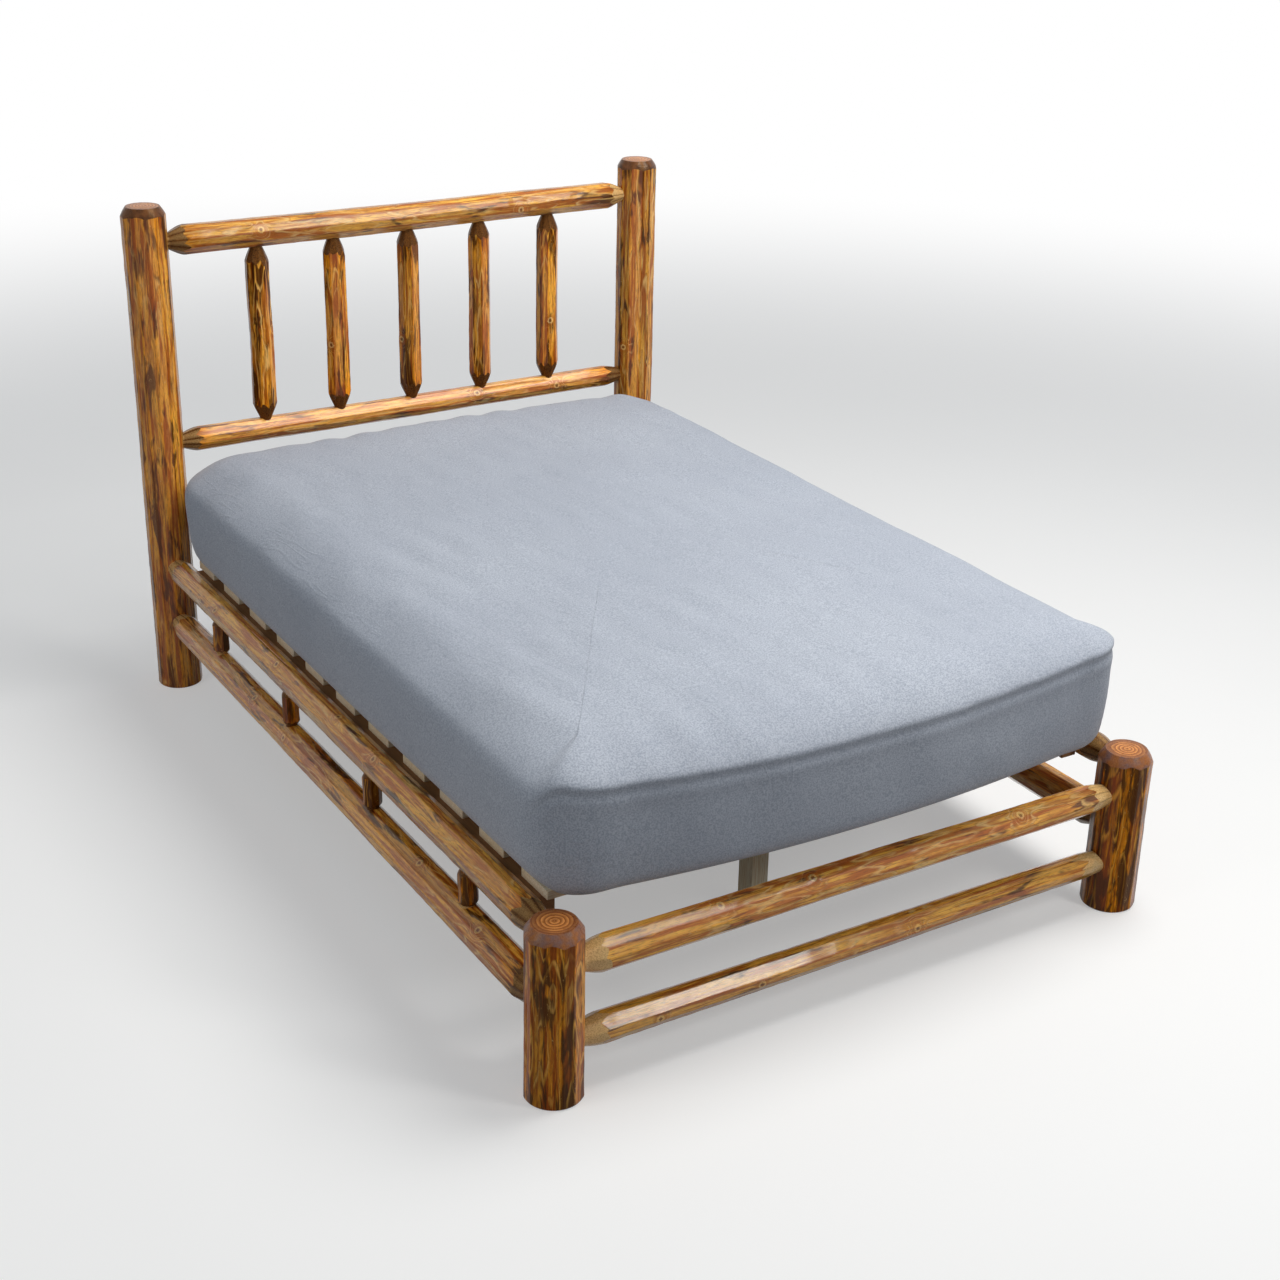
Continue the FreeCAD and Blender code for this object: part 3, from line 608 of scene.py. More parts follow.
# One column of the log's mesh runs along it, at a share of the way across a
# facet. side and crack are set on the three columns that make a crack.
class Column(NamedTuple):
    facet: int
    share: float
    crack: Crack = None
    side: int = 0

    def place(self, log, along):
        first = log.corner(self.facet - 1, along)
        last = log.corner(self.facet, along)
        share = self.share
        if self.crack is not None:
            opening = self.crack.opening(along)
            offset = self.crack.half_width * opening + CRACK_EDGE
            share = share + self.side * offset / np.abs(last - first)
        point = first + (last - first) * share
        pull = 0.0
        if self.share == 0.0:
            pull = EDGE_PULL
        if self.crack is not None and self.side == 0:
            pull = self.crack.depth * opening
        point = point * (1 - pull / np.abs(point))
        return point


def make_columns(log, cracks):
    columns = []
    for facet in range(len(log.facets)):
        row = [Column(facet, share) for share in COLUMN_SHARES]
        for crack in cracks:
            if crack.facet == facet:
                row = [c for c in row if abs(c.share - crack.share) > CRACK_CLEARANCE_SHARE]
                row += [Column(facet, crack.share, crack, side) for side in (-1, 0, 1)]
        columns += sorted(row, key=lambda c: (c.share, c.side))
    return columns


def body_shares(log, knots, marks):
    count = max(LEAST_RINGS, round(log.length / RING_STEP))
    places = set(np.linspace(0, 1, count + 1))
    for step in END_STEPS:
        places.update((END_STEP / log.length * step, 1 - END_STEP / log.length * step))
    for facet, share, along in knots:
        places.update((along + step) / log.length for step in KNOT_STEPS)
    places.update(mark / log.length for mark in marks)
    return np.array(sorted(p for p in places if 0 <= p <= 1))


def dress_log(log, low_end, high_end, slot, material, knots=(), cracks=(), seat=None):
    columns = make_columns(log, cracks)
    marks = [] if seat is None else [seat[0], seat[0] + END_STEP, seat[1] - END_STEP, seat[1]]
    shares = body_shares(log, knots, marks)[1:-1]
    low_edge = np.array([edge_along(log, column, low_end, False) for column in columns])
    high_edge = np.array([edge_along(log, column, high_end, True) for column in columns])
    along = low_edge + shares[:, None] * (high_edge - low_edge)
    places = np.column_stack([column.place(log, along[:, number])
                              for number, column in enumerate(columns)])
    fade = share_between(np.minimum(along - low_edge, high_edge - along), 0, END_FADE)
    change = log.ripple(np.angle(places), along) - RIPPLE
    for facet, knot_share, knot_along in knots:
        centre = log.on_facet(facet, knot_share, knot_along)
        away = np.hypot(np.abs(places - centre), along - knot_along)
        change = change + KNOT_BULGE * np.exp(-(away / KNOT_BULGE_REACH) ** 2)
        change = change - KNOT_HOLLOW * np.exp(-(away / KNOT_HOLLOW_REACH) ** 2)
    places = places * (1 + change * fade / np.abs(places))
    if seat is not None:
        seat_low, seat_high, seat_side, seat_depth = seat
        beyond = (along > seat_low) & (along < seat_high)
        beyond &= places.imag * seat_side > seat_depth
        places = np.where(beyond, places.real + 1j * seat_side * seat_depth, places)
    places = places + log.bow(along)
    plain = np.zeros(len(columns))
    rings = end_rings(log, columns, low_end, low_edge, False)
    rings += [(row, distance, plain, plain, plain, plain, False)
              for row, distance in zip(places, along)]
    rings += end_rings(log, columns, high_end, high_edge, True)
    build_log_mesh(log, columns, rings, (low_end, high_end), material, knots)


# Where along the log a column of its mesh meets the cone or chamfer of an end.
def edge_along(log, column, end, flip):
    along = end.meets(log.radius)
    for _ in range(EDGE_ROUNDS):
        there = log.length - along if flip else along
        along = end.meets(column.place(log, np.array(there)))
    return log.length - along if flip else along


def end_rings(log, columns, end, edges, flip):
    count = len(columns)
    places = np.array([column.place(log, along) for column, along in zip(columns, edges)])
    reach = np.abs(places)
    unit = places / reach
    depth_at_edge = log.length - edges if flip else edges
    rings = []

    def add(radius, depth, cone=0.0, crown=0.0, flat=0.0, bare=0.0, sharp=False):
        along = log.length - depth if flip else depth
        marks = [np.full(count, mark) for mark in (cone, crown, flat, bare)]
        rings.append((unit * radius, np.full(count, along), *marks, sharp))

    if end.flat:
        for share in reversed(CAP_SHARES):
            add(end.radius * share, CAP_DOME * share ** 2, flat=1.0)
    elif end.shoulder > 0:
        add(end.radius, 0.0, cone=1.0)
    base = CAP_DOME if end.flat else end.shoulder
    kind = "crown" if end.flat else "cone"
    for number in range(CONE_RINGS + 1):
        share = number / CONE_RINGS
        last = number == CONE_RINGS
        radius = end.radius + (reach - end.radius) * share
        radius = radius + CONE_SWELL * math.sin(math.pi * share) - (EDGE_PULL / 2 if last else 0.0)
        depth = base + (depth_at_edge - base) * share
        shown = 0.0 if end.shoulder == 0 and not end.flat else 1.0
        add(radius, depth, bare=1.0 if share < end.bare else 0.0, sharp=last or number == 0,
            **{kind: shown})
    return rings[::-1] if flip else rings


def build_log_mesh(log, columns, rings, ends, material, knots):
    width = len(columns)
    places, along, cone, crown, flat, bare = (np.array([ring[i] for ring in rings])
                                              for i in range(6))
    points = log.world(places, along).reshape(-1, 3)
    faces = ring_faces(len(rings), width)
    for number, (start, distance) in enumerate(((0, 0.0), (points.shape[0] - width, log.length))):
        centre = points.shape[0] + number
        for column in range(width):
            after = (column + 1) % width
            pair = (column, after) if number else (after, column)
            faces.append((centre, start + pair[0], start + pair[1]))
    tips = np.array([0.0, log.length])
    points = np.vstack([points, log.world(np.zeros(2, complex), tips)])
    piece = make_mesh(log.node + "_log", points, faces)
    mark_sharp(piece, columns, [ring[6] for ring in rings])

    flat_places = places.reshape(-1)
    grain = np.column_stack([flat_places.real + log.pith.real, flat_places.imag + log.pith.imag,
                             along.reshape(-1) + log.shift])
    centres = np.column_stack([np.full(2, log.pith.real), np.full(2, log.pith.imag),
                               tips + log.shift])
    store_vectors(piece, "grain", np.vstack([grain, centres]))
    facet = np.tile([log.tones[column.facet] for column in columns], len(rings))
    burn = burn_rows(log, columns, along, ends).reshape(-1)
    tone = np.column_stack([facet, burn, bare.reshape(-1)])
    store_vectors(piece, "tone", np.vstack([tone, [(0.5, log.burn, 0.0)] * 2]))
    zone = np.column_stack([cone.reshape(-1), crown.reshape(-1), flat.reshape(-1)])
    store_vectors(piece, "zone", np.vstack([zone] + [(0, 0, float(end.flat)) for end in ends]))
    store_vectors(piece, "knot", knot_rows(log, flat_places, along.reshape(-1), knots))
    finish_piece(piece, FRAME_BODY, material, [log.node])


# The flame has burnt a log more along the edges of its facets and near its
# ends.
def burn_rows(log, columns, along, ends):
    beside = np.array([abs(column.share - 0.5) * 2 for column in columns])
    edges = share_between(beside, BORDER_START_SHARE, 1) ** BORDER_POWER
    burn = log.burn + BORDER_BURN * np.tile(edges, (len(along), 1))
    edge_low = ends[0].meets(log.radius)
    edge_high = log.length - ends[1].meets(log.radius)
    for far, share in zip((along - edge_low, edge_high - along), log.end_burns):
        burn = burn + share * np.exp(-np.clip(far, 0, None) / END_BURN_REACH)
    return np.clip(burn, 0, 1)


# Facets are flat up to the narrow strips between them, and cones and chamfers
# meet them in a crisp edge.
def mark_sharp(piece, columns, sharp_rings):
    width = len(columns)
    sharp_rings = np.array(sharp_rings)
    borders = np.array([column.share in (COLUMN_SHARES[1], COLUMN_SHARES[-1])
                        for column in columns])
    pairs = np.zeros(2 * len(piece.data.edges), int)
    piece.data.edges.foreach_get("vertices", pairs)
    pairs = pairs.reshape(-1, 2)
    ring = pairs // width
    column = pairs % width
    inside = (ring < len(sharp_rings)).all(axis=1)
    ring = np.minimum(ring, len(sharp_rings) - 1)
    body_start, body_end = np.flatnonzero(sharp_rings)[[1, -2]]
    on_body = (ring >= body_start).all(axis=1) & (ring <= body_end).all(axis=1)
    around = (ring[:, 0] == ring[:, 1]) & sharp_rings[ring[:, 0]]
    lengthways = (column[:, 0] == column[:, 1]) & borders[column[:, 0]] & on_body
    attribute = piece.data.attributes.new("sharp_edge", "BOOLEAN", "EDGE")
    attribute.data.foreach_set("value", inside & (around | lengthways))


# How far each point is from the knot near it, across and along the log, and
# whether one is near.
def knot_rows(log, places, along, knots):
    rows = np.zeros((len(places) + 2, 3))
    rows[:, :2] = 1.0
    for facet, share, knot_along in knots:
        centre = log.on_facet(facet, share, knot_along) + log.bow(knot_along)
        sideways = (places * np.conj(centre)).imag / abs(centre)
        facing = (places * np.conj(centre)).real > 0
        lengthways = along - knot_along
        near = facing & (np.hypot(sideways, lengthways) < KNOT_REACH)
        wide = facing & (np.hypot(sideways, lengthways) < 2 * KNOT_REACH)
        rows[:-2, 0] = np.where(wide, sideways, rows[:-2, 0])
        rows[:-2, 1] = np.where(wide, lengthways, rows[:-2, 1])
        rows[:-2, 2] = np.where(near, 1.0, rows[:-2, 2])
    return rows


FRAME_BODY = "bed_frame"
CROWN_INSET = 0.012
CROWN_DROP = 0.020
FOOT_BEVEL = 0.0025
CONE_STROKES = 9
CONE_STROKE_DEPTH = 0.30
CROWN_STROKES = 7
CROWN_STROKE_DEPTH = 0.15
POST_END_BURNS = (0.15, 0.20)
SPINDLE_END_BURNS = (0.60, 0.60)
POST_KNOT_MARGIN = 0.05
POST_CRACK_MARGIN = 0.02
RAIL_MARGIN = 0.12
SPINDLE_MARGIN = 0.06
# The radius of each kind of tenon, and the length of the cone behind it.
TENONS = {
    "head_rail": (0.019, 0.036),
    "bed_rail": (0.024, 0.038),
    "head_spindle": (0.015, 0.034),
    "side_spindle": (0.013, 0.009),
}


def random_knots(log, count, margin):
    knots = []
    gap = (log.length - 2 * margin) / max(count, 1)
    for number in range(count):
        along = margin + gap * (number + log.rng.uniform(*ALONG_GAP_SHARES))
        facet = int(log.rng.integers(len(log.facets)))
        knots.append((facet, log.rng.uniform(*ACROSS_FACET_SHARES), along))
    return knots


def random_cracks(log, count, margin):
    cracks = []
    facets = log.rng.permutation(len(log.facets))[:count]
    for facet in facets:
        half_length = log.rng.uniform(*CRACK_HALF_LENGTHS)
        middle = log.rng.uniform(margin + half_length, log.length - margin - half_length)
        share = log.rng.uniform(*ACROSS_FACET_SHARES)
        cracks.append(Crack(int(facet), share, middle, half_length,
                            log.rng.uniform(*CRACK_HALF_WIDTHS), log.rng.uniform(*CRACK_DEPTHS)))
    return cracks


logs = {}


def read_log(node, seed, burn, end_burns):
    logs[node] = Log(node, seed, burn, end_burns)
    return logs[node]


# A knot at a distance along a log, on its side towards an angle.
def knot_towards(log, along, degrees):
    angle = math.radians(degrees)
    best = None
    for facet in range(len(log.facets)):
        for share in KNOT_SHARES:
            place = log.on_facet(facet, share, np.array(along))
            turn = abs(math.remainder(math.atan2(place.imag, place.real) - angle, FULL_TURN))
            if best is None or turn < best[0]:
                best = (turn, facet, share)
    return best[1], best[2], along


def dress_post(node, seed, burn, knot_count, crack_count, material):
    log = read_log(node, seed, burn, POST_END_BURNS)
    tip = log.radius + log.facets[0][2] * log.length
    foot = End(log.radius - FOOT_BEVEL, 0.0, 1.0)
    crown = End(tip - CROWN_INSET, 0.0, CROWN_INSET / CROWN_DROP, CROWN_STROKES,
                CROWN_STROKE_DEPTH, True)
    dress_log(log, foot, crown, "post_wood", material,
              random_knots(log, knot_count, POST_KNOT_MARGIN),
              random_cracks(log, crack_count, POST_CRACK_MARGIN))


# A cone between a carrying log and this one: the tenon is hidden as far as the
# carrying log's surface.
def cone_end(log, kind, tenon_length, far=False, bare=0.0):
    tenon_radius, cone_length = TENONS[kind]
    along = log.length if far else 0.0
    reach = log.radius + log.facets[0][2] * along
    return End(tenon_radius, tenon_length, (reach - tenon_radius) / cone_length, CONE_STROKES,
               CONE_STROKE_DEPTH, False, bare)


# How much of a log lies inside another that carries it at one end.
def sunk(log, carrier, far):
    tip = log.start + log.length if far else log.start
    centre = {carrier.across: carrier.middle.real, carrier.up: carrier.middle.imag}
    along = {log.across: log.middle.real, log.up: log.middle.imag}[carrier.axis] - carrier.start
    step = -1 if far else 1
    direction = complex(step, 0) if log.axis == carrier.across else complex(0, step)
    surface = carrier.depth_towards(math.atan2(direction.imag, direction.real), along)
    return surface - abs(tip - centre[log.axis])


def dress_rail(node, seed, burn, end_burns, kind, carriers, knots, crack_count, seat=None,
               bare=(0.0, 0.0)):
    log = read_log(node, seed, burn, end_burns)
    ends = [cone_end(log, kind, sunk(log, logs[carrier], far), far, bare[far])
            for far, carrier in zip((False, True), carriers)]
    knots = [knot_towards(log, across - log.start, degrees) for across, degrees in knots]
    dress_log(log, *ends, "rail_wood", rail_pine, knots,
              random_cracks(log, crack_count, RAIL_MARGIN), seat)


def dress_spindle(node, seed, burn, kind, carriers, knot_count, bare=0.0):
    log = read_log(node, seed, burn, SPINDLE_END_BURNS)
    ends = [cone_end(log, kind, sunk(log, logs[carrier], far), far, 0.0 if far else bare)
            for far, carrier in zip((False, True), carriers)]
    dress_log(log, *ends, "spindle_wood", spindle_pine,
              random_knots(log, knot_count, SPINDLE_MARGIN))


POSTS = (
    # name, seed, burn, knots, cracks, wood
    ("head_post_left", 11, 0.47, 3, 2, head_post_pine),
    ("head_post_right", 12, 0.36, 3, 2, head_post_pine),
    ("foot_post_left", 13, 0.66, 1, 1, foot_post_pine),
    ("foot_post_right", 14, 0.96, 1, 0, foot_post_pine),
)
CROSS_RAILS = (
    # name, seed, burn, end burns, tenon, cracks, bare shares, and the knots that
    # show: how far across the bed, and towards which angle
    ("head_rail_top", 21, 0.14, (0.60, 0.35), "head_rail", 1, (0.0, 0.0),
     ((-0.40, 165), (0.31, 200))),
    ("head_rail_lower", 22, 0.10, (0.60, 0.70), "head_rail", 1, (0.0, 0.0),
     ((0.18, 150), (0.42, 175))),
    ("foot_rail_upper", 23, 0.08, (0.0, 0.25), "bed_rail", 1, (0.0, 0.0),
     ((-0.335, 112), (-0.128, 118), (0.383, 125))),
    ("foot_rail_lower", 24, 0.12, (0.05, 0.20), "bed_rail", 3, (0.0, 0.45),
     ((-0.471, 183), (-0.244, 191), (0.13, 170))),
)
# The knots are the left side's: how far along the bed, and towards which
# angle. The right side is their mirror image.
SIDE_RAILS = {
    # seed, burn, end burns, knots
    "upper": (31, 0.14, (0.60, 0.3), ((0.25, 324), (-0.07, 348), (-0.27, 324), (0.62, 310))),
    "lower": (36, 0.28, (0.50, 0.2), ((0.40, 318), (0.20, 300), (-0.47, 336), (-0.74, 318))),
}
SIDE_RAIL_CRACKS = 2
SIDE_SPINDLE_COUNT = 4
SIDE_SPINDLE_SEEDS = {"left": 40, "right": 60}
SIDE_SPINDLE_BURN = 0.6
# The spindles nearest the foot and the head have bare wood at their lower ends.
SIDE_SPINDLE_BARE = {1: 0.5, 4: 0.95}
HEAD_SPINDLE_COUNT = 5
HEAD_SPINDLE_SEED = 70
HEAD_SPINDLE_BURN = 0.45


def dress_side(name, side):
    posts = (f"foot_post_{name}", f"head_post_{name}")
    cleat_low, cleat_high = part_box(f"cleat_{name}")
    rail_low, rail_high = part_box(f"side_rail_upper_{name}")
    face = cleat_high.x if side > 0 else cleat_low.x
    seat = (cleat_low.y - rail_low.y, cleat_high.y - rail_low.y, -side,
            abs((rail_low.x + rail_high.x) / 2 - face))
    for level, (seed, burn, end_burns, knots) in SIDE_RAILS.items():
        knots = [(along, -side * degrees) for along, degrees in knots]
        dress_rail(f"side_rail_{level}_{name}", seed + side, burn, end_burns, "bed_rail", posts,
                   knots, SIDE_RAIL_CRACKS, seat if level == "upper" else None)
    rails = (f"side_rail_lower_{name}", f"side_rail_upper_{name}")
    for number in range(1, SIDE_SPINDLE_COUNT + 1):
        dress_spindle(f"side_spindle_{name}_{number}", SIDE_SPINDLE_SEEDS[name] + number,
                      SIDE_SPINDLE_BURN, "side_spindle", rails, 0,
                      SIDE_SPINDLE_BARE.get(number, 0.0))


for post in POSTS:
    dress_post(*post)
for node, seed, burn, end_burns, tenon, cracks, bare, knots in CROSS_RAILS:
    end = node.split("_")[0]
    posts = (f"{end}_post_left", f"{end}_post_right")
    dress_rail(node, seed, burn, end_burns, tenon, posts, knots, cracks, bare=bare)
for name, side in LEFT_AND_RIGHT:
    dress_side(name, side)
for number in range(1, HEAD_SPINDLE_COUNT + 1):
    dress_spindle(f"head_spindle_{number}", HEAD_SPINDLE_SEED + number, HEAD_SPINDLE_BURN,
                  "head_spindle", ("head_rail_lower", "head_rail_top"), 1)


# Boards and screws keep their own solids, with eased edges on the boards.

BOARD_EASE = 0.0015


def dress_board(node, material):
    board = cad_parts[node]
    board.data.materials.clear()
    board.data.materials.append(material)
    weld = board.modifiers.new("weld", "WELD")
    weld.merge_threshold = TOUCHING
    ease = board.modifiers.new("eased_edges", "BEVEL")
    ease.width = BOARD_EASE
    ease.segments = 2
    ease.limit_method = "ANGLE"


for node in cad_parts:
    if node.startswith("slat_") and not node.endswith("screws"):
        dress_board(node, board_pines[0])
    # Cleats and the centre beam take the pine darkened as painted shade.
    elif node.startswith("cleat_") and not node.endswith("screws") or node == "centre_beam":
        dress_board(node, shade_dark_pine)
    elif node.startswith("centre_leg"):
        dress_board(node, board_pines[2])
    elif node.endswith("screws"):
        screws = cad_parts[node]
        screws.data.materials.clear()
        screws.data.materials.append(screw_steel)


# Mattress and fitted sheet. Both are one soft block: rings of points run
# round it from under its edge to its top, and a grid closes the top.

GRID_X = 56
GRID_Y = 80
MATTRESS_BODY = "mattress"
FOOT_CORNER = 0.125
HEAD_CORNER = 0.160
EDGE_HEIGHT = 0.278
CROWN = 0.014
TOP_ROLL = 0.140
SIDE_TOP = 0.188
SIDE_ROLL = 0.048
SIDE_TURN = math.radians(52)
BOTTOM_ROLL = 0.072
DRAW_IN = 0.008
FOOT_SWELL = 0.042
FOOT_SWELL_REACH = 0.531
FOOT_BOTTOM_ROLL = 0.050
FOOT_SEAM = 0.246
FOOT_SEAM_DROOP = 0.026
FOOT_ROLL = 0.122
SEAM_TURN = math.radians(26)
HEM = 0.15
HEM_SHARES = (1.0, 0.84, 0.68)
FOOT_HEM_SHARES = (1.0, 0.75, 0.52)
ROLL_STEPS = 4
SIDE_STEPS = 7
TOP_STEPS = 5
TOP_SLACK = 0.003
BAND_BELOW_SEAM = 0.030
BAND_EDGE = 0.010
BAND_INSET = 0.0045
# How far up the foot's side below its band, and how far in.
FOOT_SIDE = ((0.3, 0.003), (0.6, 0.001), (0.88, 0.003))
SEAM_STEPS = 9
FOOTWARD_START = 0.20
FOOTWARD_SPREAD = 0.55
DROOP_POWER = 0.7
CROWN_POWER = 2.2
SHEET_GAP = 0.0006
CORE_GAP = 0.0016

low_corner, high_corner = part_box("mattress")
block_centre_x = (low_corner.x + high_corner.x) / 2
block_centre_y = (low_corner.y + high_corner.y + FOOT_SWELL) / 2
half_width = (high_corner.x - low_corner.x) / 2
half_length = (high_corner.y - low_corner.y - FOOT_SWELL) / 2
block_base = low_corner.z


# Evenly spaced points round a rounded rectangle, with the same numbers of
# points on each side as the grid that closes the top. The foot comes first,
# then the right side, the head and the left side.
def outline():
    points = []
    normals = []
    sides = ((GRID_X, half_width, half_length, FOOT_CORNER, FOOT_CORNER),
             (GRID_Y, half_length, half_width, FOOT_CORNER, HEAD_CORNER),
             (GRID_X, half_width, half_length, HEAD_CORNER, HEAD_CORNER),
             (GRID_Y, half_length, half_width, HEAD_CORNER, FOOT_CORNER))
    for quarter, (count, along_half, out_half, first, last) in enumerate(sides):
        turn = -1j * 1j ** quarter
        first_arc = math.pi * first / 4
        straight = 2 * along_half - first - last
        whole = straight + math.pi * (first + last) / 4
        for number in range(count):
            run = whole * number / count - first_arc
            if run < 0:
                normal = np.exp(1j * run / first)
                local = complex(out_half - first, first - along_half) + first * normal
            elif run > straight:
                normal = np.exp(1j * (run - straight) / last)
                local = complex(out_half - last, along_half - last) + last * normal
            else:
                normal = 1 + 0j
                local = complex(out_half, run - along_half + first)
            points.append(local * turn)
            normals.append(normal * turn)
    return np.array(points), np.array(normals)


# Heights, and how far in from the outline, from the hem up to the top's edge.
# At the sides and the head the edge turns over in a tight roll, and a flatter
# curve goes on to the top. At the foot the side stands up to a seam, which
# droops between the corners, and a band runs under the seam.
def round_profile():
    rows = under_edge(HEM_SHARES, BOTTOM_ROLL)
    for step in range(1, SIDE_STEPS):
        share = step / SIDE_STEPS
        rows.append((BOTTOM_ROLL + (SIDE_TOP - BOTTOM_ROLL) * share, DRAW_IN * (1 - share) ** 2))
    for step in range(ROLL_STEPS + 1):
        turn = SIDE_TURN * step / ROLL_STEPS
        rows.append((SIDE_TOP + SIDE_ROLL * math.sin(turn), SIDE_ROLL * (1 - math.cos(turn))))
    start = np.array(rows[-1])
    end = np.array([EDGE_HEIGHT, TOP_ROLL])
    pull = (EDGE_HEIGHT - TOP_SLACK - start[0]) / math.cos(SIDE_TURN)
    middle = start + pull * np.array([math.cos(SIDE_TURN), math.sin(SIDE_TURN)])
    for step in range(1, TOP_STEPS + 1):
        share = step / TOP_STEPS
        rows.append(tuple(start * (1 - share) ** 2 + 2 * middle * share * (1 - share)
                          + end * share ** 2))
    return np.array(rows)


def foot_profile(seam):
    rows = under_edge(FOOT_HEM_SHARES, FOOT_BOTTOM_ROLL)
    band = seam - BAND_BELOW_SEAM
    for share, inset in FOOT_SIDE:
        rows.append((FOOT_BOTTOM_ROLL + (band - FOOT_BOTTOM_ROLL) * share, inset))
    rows += [(band, 0.0), (band + BAND_EDGE, BAND_INSET), (seam - BAND_EDGE, BAND_INSET)]
    start = math.sin(SEAM_TURN)
    for step in range(SEAM_STEPS + 1):
        turn = SEAM_TURN + (math.pi / 2 - SEAM_TURN) * step / SEAM_STEPS
        rows.append((seam + (EDGE_HEIGHT - seam) * (math.sin(turn) - start) / (1 - start),
                     FOOT_ROLL * (1 - math.cos(turn) / math.cos(SEAM_TURN))))
    return np.array(rows)


# Both profiles start under the block's edge, and roll up to its side on a
# quarter of a circle.
def under_edge(hem_shares, radius):
    rows = [(0.0, HEM * share) for share in hem_shares]
    for step in range(ROLL_STEPS + 1):
        turn = math.pi / 2 * step / ROLL_STEPS
        rows.append((radius * (1 - math.cos(turn)), DRAW_IN + radius * (1 - math.sin(turn))))
    return rows


def block_rings(points, normals):
    round_rows = round_profile()
    heights = []
    insets = []
    for point, normal in zip(points, normals):
        footward = share_between(-normal.imag, FOOTWARD_START, FOOTWARD_START + FOOTWARD_SPREAD)
        footward = footward ** 2 * (3 - 2 * footward)
        droop = max(0.0, 1 - (point.real / half_width) ** 2) ** DROOP_POWER
        rows = foot_profile(FOOT_SEAM - FOOT_SEAM_DROOP * droop)
        rows = round_rows + (rows - round_rows) * footward
        heights.append(rows[:, 0])
        insets.append(rows[:, 1])
    return np.array(heights).T, np.array(insets).T


def soft_block(name, grow, open_below):
    points, normals = outline()
    heights, insets = block_rings(points, normals)
    rows = []
    for height, inset in zip(heights, insets):
        ring = points - normals * (inset - grow)
        rows += [(p.real, p.imag, h) for p, h in zip(ring, height)]
    faces = ring_faces(len(heights), len(points))
    first_ring = points - normals * (insets[0] - grow)
    last_ring = points - normals * (insets[-1] - grow)
    start = len(rows) - len(points)
    close_with_grid(rows, faces, last_ring, start, heights[-1][0], CROWN, False)
    if not open_below:
        close_with_grid(rows, faces, first_ring, 0, heights[0][0], 0.0, True)
    rows = soften(np.array(rows), grow)
    rows += np.array([block_centre_x, block_centre_y, block_base])
    return make_mesh(name, rows, faces)


def close_with_grid(rows, faces, ring, start, height, crown, flip):
    numbers = {cell: start + index for index, cell in enumerate(grid_edge())}
    for i in range(GRID_X + 1):
        for j in range(GRID_Y + 1):
            if (i, j) in numbers:
                continue
            u = 2 * i / GRID_X - 1
            v = 2 * j / GRID_Y - 1
            far = max(abs(u), abs(v))
            spot = far * point_on_edge(ring, u / far, v / far) if far > ROUNDING else 0j
            lift = crown * (1 - far ** CROWN_POWER)
            numbers[(i, j)] = len(rows)
            rows.append((spot.real, spot.imag, height + lift))
    for i in range(GRID_X):
        for j in range(GRID_Y):
            face = (numbers[(i, j)], numbers[(i + 1, j)], numbers[(i + 1, j + 1)],
                    numbers[(i, j + 1)])
            faces.append(face[::-1] if flip else face)


# The grid's edge cells in the order of the outline's points: along the foot,
# up the right side, back along the head and down the left side.
def grid_edge():
    cells = [(i, 0) for i in range(GRID_X)]
    cells += [(GRID_X, j) for j in range(GRID_Y)]
    cells += [(i, GRID_Y) for i in range(GRID_X, 0, -1)]
    cells += [(0, j) for j in range(GRID_Y, 0, -1)]
    return cells


def point_on_edge(ring, u, v):
    count = len(ring)
    if v <= -1 + ROUNDING:
        place = (u + 1) / 2 * GRID_X
    elif u >= 1 - ROUNDING:
        place = GRID_X + (v + 1) / 2 * GRID_Y
    elif v >= 1 - ROUNDING:
        place = GRID_X + GRID_Y + (1 - u) / 2 * GRID_X
    else:
        place = 2 * GRID_X + GRID_Y + (1 - v) / 2 * GRID_Y
    low = math.floor(place)
    share = place - low
    return ring[low % count] * (1 - share) + ring[(low + 1) % count] * share


# Lets the sheet settle as cloth, blown up a little from inside and a little
# larger than the block. How far each point moves is capped, and the corners,
# where the sheet is gathered, stay as they are.
SETTLE_FRAMES = 20
SETTLE_LIMIT = 0.005
CORNER_HOLD = 0.10
CORNER_REACH = 0.35
PINNED_BELOW = 0.07
CLOTH_VALUES = {
    "quality": 6,
    "mass": 0.4,
    "tension_stiffness": 40,
    "compression_stiffness": 40,
    "shear_stiffness": 10,
    "bending_stiffness": 0.6,
    "shrink_min": -0.006,
    "use_pressure": True,
    "uniform_pressure_force": 1.0,
    "vertex_group_mass": "pinned",
}


